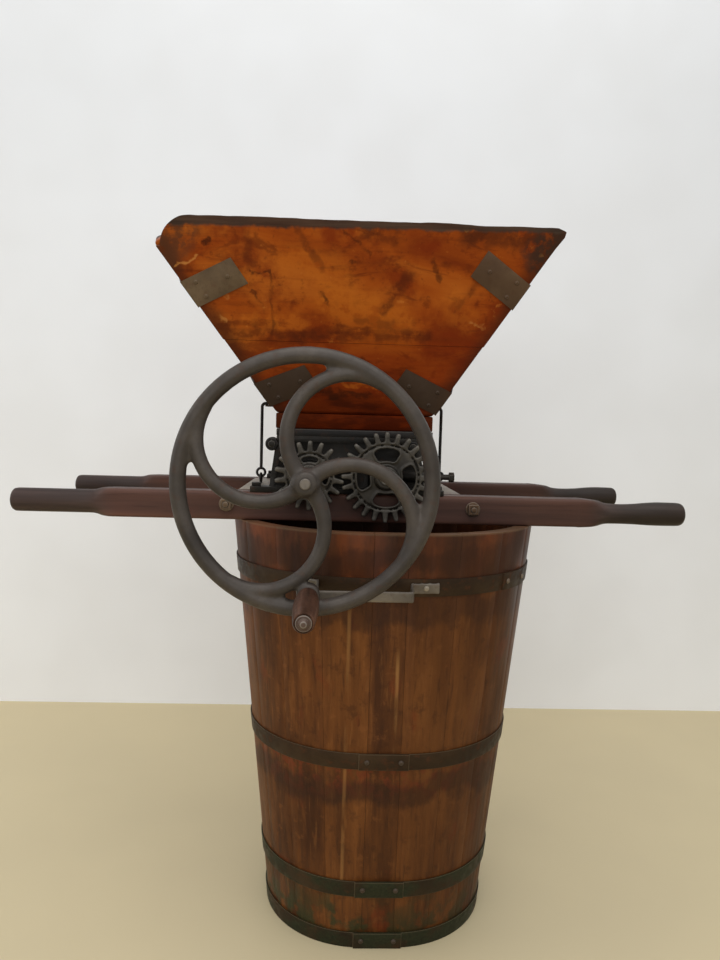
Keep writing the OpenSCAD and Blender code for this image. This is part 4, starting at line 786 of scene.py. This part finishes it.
def make_flywheel():
    work = bmesh.new()
    rim_steps = 160
    rim = [rim_point(math.tau * i / rim_steps) for i in range(rim_steps)]
    sweep(work, rim, [(RIM_HALF, RIM_HALF)] * len(rim), closed=True)
    steps = 40
    for i in range(SPOKES):
        phase = SPOKE_PHASE + math.tau * i / SPOKES
        path = []
        sections = []
        for k in range(steps + 1):
            share = k / steps
            path.append(spoke_point(phase, SPOKE_FROM + (SPOKE_TO - SPOKE_FROM) * share))
            at_hub = 0.0022 * max(0, 1 - share / 0.25)
            at_rim = 0.0014 * max(0, share - 0.75) / 0.25
            sections.append((SPOKE_HALF + at_hub + at_rim, SPOKE_HALF_DEPTH))
        sweep(work, path, sections)
        plate(work, WHEEL.y - WEB_HALF, WHEEL.y + WEB_HALF, web_loop(phase))
    hub = ((HUB_FRONT, 0.0158), (HUB_FRONT + 0.0025, 0.0176), (HUB_FRONT + 0.007, 0.0196),
           (HUB_FRONT + 0.012, 0.0228), (HUB_BACK - 0.004, 0.0232), (HUB_BACK, 0.0210))
    turned(work, WHEEL, hub)
    turned(work, CRANK, ((CRANK.y - 0.0120, 0.0155), (CRANK.y - 0.0085, 0.0178), (CRANK.y + 0.0085, 0.0178),
                         (CRANK.y + 0.0120, 0.0155)))
    wheel = even_out("flywheel_casting", to_mesh(work, "flywheel_raw"), 0.0021, 9)
    mark_wear(wheel.data, 0.6)
    dress(wheel, "wheel_iron", "wheel_iron", "flywheel")


# Gears: castings with broad rounded teeth, a groove inside the toothed rim and four lipped windows

GEAR_FRONT = -0.144
GEAR_BACK = -0.120
DISC_FRONT = -0.1425
GROOVE_FLOOR = -0.1375
WEB_BACK = -0.126
GEAR_HUB_FRONT = -0.1535
TOOTH_DEPTH = 0.011
WINDOW_HALF = math.radians(31)
CORNER_POWER = 0.5


def tooth_loop(axis, teeth, phase, pitch):
    """Outline of the teeth: radii from the root to the tip, each with its half width."""
    rise = ((pitch - TOOTH_DEPTH, 0.0050), (pitch - 0.005, 0.0045), (pitch + 0.001, 0.0040),
            (pitch + 0.006, 0.0027))
    loop = []
    for i in range(teeth):
        middle = phase + math.tau * i / teeth
        flank = [(radius, middle - half / radius) for radius, half in rise]
        flank += [(radius, middle + half / radius) for radius, half in reversed(rise)]
        loop += [ring_place(axis, radius, turn) for radius, turn in flank]
    return loop


def ring_loop(axis, radius, sides=96):
    return [ring_place(axis, radius, math.tau * k / sides) for k in range(sides)]


def window_loop(axis, middle, inner, outer, half_angle, sides=48):
    """Outline of a gear window: a piece of a ring with well rounded corners."""
    loop = []
    for k in range(sides):
        out, round_by = math.cos(math.tau * k / sides), math.sin(math.tau * k / sides)
        radius = (inner + outer) / 2 + (outer - inner) / 2 * math.copysign(abs(out) ** CORNER_POWER, out)
        turn = middle + half_angle * math.copysign(abs(round_by) ** CORNER_POWER, round_by)
        loop.append(ring_place(axis, radius, turn))
    return loop


def make_gear(node, look, axis, teeth, phase, pitch, inner):
    work = bmesh.new()
    root = pitch - TOOTH_DEPTH
    groove_in = root - 0.0062
    groove_out = root - 0.0036
    outer = groove_in - 0.0026
    windows = [window_loop(axis, math.radians(90 * k), inner, outer, WINDOW_HALF) for k in range(4)]
    plate(work, GEAR_FRONT, GEAR_BACK, tooth_loop(axis, teeth, phase, pitch), ring_loop(axis, groove_out))
    plate(work, GROOVE_FLOOR, WEB_BACK, ring_loop(axis, root - 0.001), *windows)
    plate(work, DISC_FRONT, WEB_BACK + 0.002, ring_loop(axis, groove_in), *windows)
    for window in windows:
        lip = [Vector((x, DISC_FRONT, z)) for x, z in window]
        sweep(work, lip, [(0.0021, 0.0018)] * len(lip), sides=10, closed=True)
    turned(work, axis, ((GEAR_HUB_FRONT, 0.0175), (GEAR_HUB_FRONT + 0.002, 0.0200), (DISC_FRONT, 0.0215),
                        (GEAR_BACK, 0.0220)))
    gear = even_out(node + "_casting", to_mesh(work, node + "_raw"), 0.0013, 3)
    mark_wear(gear.data, 0.8)
    dress(gear, look, "gear_iron", node)


# Hopper: boards with rounded edges and a wavy, worn mouth

RIGHT_TIP = 0.337
FRONT_TIP_Y = -0.12


def wear_mouth(mesh):
    """Wears the upper edge of a board in waves and rounds off its right front tip."""
    reach = 0.06
    lost = 0.0012
    tip_round = 0.010
    tip_drop = 0.006
    for vert in mesh.vertices:
        rise = (vert.co.z - (HOPPER_MOUTH_Z - reach)) / reach
        if rise <= 0:
            continue
        along = vert.co.x - HOPPER_X
        wave = 0.0016 * noise.noise(Vector((vert.co.x * 14, vert.co.y * 14, 3.1)))
        ripple = 0.0008 * noise.noise(Vector((vert.co.x * 60, vert.co.y * 60, 7.7)))
        vert.co.z -= rise * rise * (lost + wave + ripple)
        if vert.co.y < FRONT_TIP_Y:
            vert.co.x = min(vert.co.x, HOPPER_X + RIGHT_TIP)
            past = max(0, min(1, 1 - (RIGHT_TIP - along) / tip_round))
            vert.co.z -= rise ** 4 * past * tip_drop


def slice_across(mesh, axis, step):
    """Cuts a mesh across one axis at even steps, so that its edge can be worn in waves."""
    work = bmesh.new()
    work.from_mesh(mesh)
    places = [vert.co[axis] for vert in work.verts]
    low, high = min(places), max(places)
    normal = Vector([1 if i == axis else 0 for i in range(3)])
    for k in range(1, int((high - low) / step) + 1):
        everything = work.verts[:] + work.edges[:] + work.faces[:]
        bmesh.ops.bisect_plane(work, geom=everything, plane_co=normal * (low + k * step), plane_no=normal)
    work.to_mesh(mesh)
    work.free()


def at_seam(edge):
    """Whether an edge lies at the joint of an upper and a lower board, which stays tight."""
    return all(abs(vert.co.z - HOPPER_SEAM_Z) < 0.012 for vert in edge.verts)


# Boards of the hopper: node, look and the axis along which they lie
BOARDS = (
    ("front_upper_board", "hopper_wood", 0),
    ("front_lower_board", "hopper_wood", 0),
    ("rear_upper_board", "hopper_rear", 0),
    ("rear_lower_board", "hopper_rear", 0),
    ("left_panel", "hopper_side", 1),
    ("right_panel", "hopper_side", 1),
)
BOARD_ROUND = 0.0045
SLICE = 0.012


def make_hopper():
    for node, look, axis in BOARDS:
        board = bevelled(node, BOARD_ROUND, skip=at_seam)
        slice_across(board.data, axis, SLICE)
        wear_mouth(board.data)
        smooth_faces(board.data, 20)
        dress(board, look, "hopper_wood", node)


# Tub handles: bent bars with rounded feet

def make_handles():
    for node in ("front_tub_handle", "rear_tub_handle"):
        handle = worn_copy(node, 0.0016, 5)
        mark_wear(handle.data, 0.6)
        dress(handle, "handle_iron", "handle_iron", node)


# Beams: timber with rounded edges; the right-hand grips are worn to a waist and swell again at their end

GRIP_REACH = 0.20
WAIST = 0.14
WAIST_DROP = 0.0015
END_SWELL = 0.03


def make_beams():
    for node in ("front_beam", "rear_beam"):
        beam = worn_copy(node, 0.0035, 3)
        low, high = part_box(node)
        middle = (low + high) / 2
        for vert in beam.data.vertices:
            into = (vert.co.x - (middle.x + BEAM_HALF - GRIP_REACH)) / GRIP_REACH
            if into > 0:
                waist = math.sin(math.pi * min(1, into * 1.25)) ** 2
                swell = max(0, math.sin(math.pi * (into - 0.55) / 0.45))
                thick = 1 - WAIST * waist + END_SWELL * swell
                vert.co.y = middle.y + (vert.co.y - middle.y) * thick
                vert.co.z = middle.z + (vert.co.z - middle.z) * thick - WAIST_DROP * waist
        mark_wear(beam.data, 0.5)
        dress(beam, "beam_wood", "beam_wood", node)


# Crank grip: a turned barrel with a rounded, rimmed end

def make_crank_grip():
    low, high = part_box("crank_grip")
    work = bmesh.new()
    steps = 28
    length = high.y - low.y
    belly = (high.x - low.x) / 2
    profile = [(high.y, 0.0068)]
    for i in range(steps + 1):
        share = i / steps
        radius = belly * (0.8 + 0.2 * math.sin(math.pi * share ** 0.8))
        back_ease = 0.0022 * max(0, 1 - share * length / 0.004)
        front_ease = 0.0014 * max(0, 1 - (1 - share) * length / 0.003)
        groove = 0.0006 * math.exp(-((share - 0.93) * length / 0.0012) ** 2)
        profile.append((high.y - share * length, radius - back_ease - front_ease - groove))
    profile += [(low.y, 0.0122), (low.y + 0.0016, 0.0116), (low.y + 0.0016, 0.0068)]
    axis = Vector(((low.x + high.x) / 2, 0, (low.z + high.z) / 2))
    turned(work, axis, profile)
    mesh = to_mesh(work, "crank_grip_turned")
    smooth_faces(mesh)
    grip = add_object("crank_grip_turned", mesh)
    dress(grip, "grip_wood", "grip_wood", "crank_grip")


# Drive shaft: its front end is turned down, with a bright worn face

def make_drive_shaft():
    low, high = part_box("drive_shaft")
    work = bmesh.new()
    profile = ((high.y, 0.0105), (high.y - 0.0015, 0.012), (HUB_FRONT + 0.001, 0.012),
               (HUB_FRONT + 0.0005, 0.0085), (low.y + 0.0030, 0.0080), (low.y + 0.0022, 0.0070),
               (low.y + 0.0022, 0.0066), (low.y + 0.0012, 0.0064))
    turned(work, DRIVE_AXIS, profile)
    mesh = to_mesh(work, "drive_shaft_turned")
    smooth_faces(mesh)
    dress(add_object("drive_shaft_turned", mesh), "shaft_iron", "steel", "drive_shaft")


make_flywheel()
make_gear("drive_gear", "drive_gear_iron", DRIVE_AXIS, teeth=18, phase=math.radians(10), pitch=0.054,
          inner=0.0225)
make_gear("driven_gear", "driven_gear_iron", DRIVEN_AXIS, teeth=24, phase=math.pi, pitch=0.072, inner=0.0270)
make_hopper()
make_handles()
make_beams()
make_crank_grip()
make_drive_shaft()

# The other pieces keep their CAD shape with worn edges: look, slot, width of the worn edge, nodes
WORN = (
    ("tub_wood", "tub_wood", 0.0004, ("front_stave", "rear_stave", "left_staves", "right_staves")),
    ("bottom_wood", "tub_wood", 0.001, ("tub_bottom",)),
    ("hoop_iron", "hoop_iron", 0.0006, ("top_hoop", "middle_hoop", "lower_hoop", "base_hoop")),
    ("rivet_iron", "hoop_iron", 0.0008, ("tub_rivets",)),
    ("crossbar_wood", "beam_wood", 0.003, ("left_crossbar", "right_crossbar")),
    ("bolt_iron", "bolt_iron", 0.0012, ("tie_bolts", "tie_nuts", "tie_washers")),
    ("box_iron", "box_iron", 0.0015, ("front_end_plate", "rear_end_plate")),
    ("box_iron", "box_iron", 0.001, ("left_side_plate", "right_side_plate")),
    ("box_iron", "box_iron", 0.0012, ("front_bearing_block", "rear_bearing_block")),
    # The seat's near-black colour is partly painted shade under the hopper collar.
    ("seat_iron", "box_iron", 0.0015, ("hopper_seat",)),
    ("seat_iron", "bolt_iron", 0.001, ("stay_nuts",)),
    ("box_iron", "steel", 0.001, ("coach_bolts", "lock_nuts", "stay_rods")),
    ("pin_iron", "steel", 0.001, ("crank_washer", "crank_pin")),
    ("box_iron", "steel", 0.001, ("front_adjusting_screw", "rear_adjusting_screw")),
    ("collar_wood", "hopper_wood", 0.0025, ("hopper_collar",)),
    ("strap_iron", "strap_iron", 0.0006, ("upper_corner_straps", "lower_corner_straps", "hook_keepers")),
    ("strap_iron", "strap_iron", 0.0005, ("corner_nails",)),
    ("roller_iron", "gear_iron", 0.002, ("drive_roller", "driven_roller")),
)
for look, slot, width, nodes in WORN:
    for node in nodes:
        dress(bevelled(node, width), look, slot, node)

# These have the right shape already and take only a material
PLAIN = {
    "hook_iron": ("left_hook", "right_hook", "hook_eyes"),
    "steel": ("driven_shaft", "drive_keys", "driven_key"),
    "bronze": ("drive_bushes",),
}
for look, nodes in PLAIN.items():
    for node in nodes:
        for holder in frame["nodes"][node].material_slots:
            holder.material = LOOKS[look]


# Room: pale floor and a white wall that can be seen through from behind

ROOM_HALF = 8
WALL_Y = 0.95
WALL_HEIGHT = 4
# Height up to which the painted shade on the wall deepens
WALL_TOP = 1.9
FLOOR_TINT = tint(208, 193, 156)


def flat_sheet(name, corners):
    mesh = bpy.data.meshes.new(name)
    mesh.from_pydata(corners, [], [(0, 1, 2, 3)])
    sheet = add_object(name, mesh)
    return sheet


def room_look(name, colour, upper, one_sided):
    """A plain sheet whose colour changes evenly with height; one-sided sheets are clear from behind."""
    look = Look(name)
    speckle = look.noise(3, detail=2)
    shade = look.tones(look.calc("DIVIDE", look.z, WALL_TOP), (0.0, colour), (1.0, upper))
    base = look.blend(look.grade(speckle, 0.3, 0.7, 0.0, 0.06), shade, tint(150, 140, 120))
    material = look.done(base, 0.6, (speckle, 0.001, 0.02))
    if one_sided:
        clear = look.add("ShaderNodeBsdfTransparent")
        choose = look.add("ShaderNodeMixShader")
        look.feed(choose.inputs[0], look.add("ShaderNodeNewGeometry").outputs["Backfacing"])
        look.feed(choose.inputs[1], look.shader.outputs[0])
        look.feed(choose.inputs[2], clear.outputs[0])
        look.feed(look.tree.nodes["Material Output"].inputs["Surface"], choose.outputs[0])
    return material


floor = flat_sheet("floor", ((-ROOM_HALF, -ROOM_HALF, 0), (ROOM_HALF, -ROOM_HALF, 0),
                             (ROOM_HALF, ROOM_HALF, 0), (-ROOM_HALF, ROOM_HALF, 0)))
floor.data.materials.append(room_look("floor", FLOOR_TINT, FLOOR_TINT, False))
wall = flat_sheet("wall", ((-ROOM_HALF, WALL_Y, 0), (ROOM_HALF, WALL_Y, 0),
                           (ROOM_HALF, WALL_Y, WALL_HEIGHT), (-ROOM_HALF, WALL_Y, WALL_HEIGHT)))
# The wall is painted darker with height: painted shade.
wall.data.materials.append(room_look("wall", tint(250, 252, 255), tint(224, 227, 231), True))


# Light: broad soft lights from the ceiling, the left and the front, and an even surround

def area_light(name, place, aim, size, power):
    lamp = bpy.data.lights.new(name, "AREA")
    lamp.shape = "RECTANGLE"
    lamp.size, lamp.size_y = size
    lamp.energy = power
    holder = add_object(name, lamp)
    holder.location = place
    holder.rotation_euler = (Vector(aim) - Vector(place)).to_track_quat("-Z", "Y").to_euler()


area_light("ceiling", (0.1, -0.8, 3.0), (0, 0.2, 0.6), (3.2, 2.4), 44)
area_light("left_side", (-2.6, -0.2, 1.7), (0, 0, 0.7), (1.6, 2.2), 12)
area_light("front", (-0.5, -3.3, 1.9), (0, 0, 0.7), (2.8, 1.8), 24)

world = bpy.data.worlds.new("surround")
bpy.context.scene.world = world
world.use_nodes = True
background = world.node_tree.nodes["Background"]
background.inputs["Color"].default_value = (0.99, 0.995, 1.0, 1.0)
background.inputs["Strength"].default_value = 0.50
bpy.context.scene.view_settings.view_transform = "Standard"

# Camera: where the photograph was taken from
EYE = (-0.09591, -1.42375, 0.91123)
YAW = 0.03569
PITCH = 0.07324
ROLL = 0.02736
LENS = 28.09
camera_data = bpy.data.cameras.new("camera")
camera_data.sensor_fit = "AUTO"
camera_data.sensor_width = 36.0
camera_data.lens = LENS
camera = add_object("camera", camera_data)
turn = Matrix.Rotation(-YAW, 3, "Z")
tip_down = Matrix.Rotation(math.pi / 2 - PITCH, 3, "X")
tilt = Matrix.Rotation(ROLL, 3, "Z")
camera.location = EYE
camera.rotation_euler = (turn @ tip_down @ tilt).to_euler()
bpy.context.scene.camera = camera
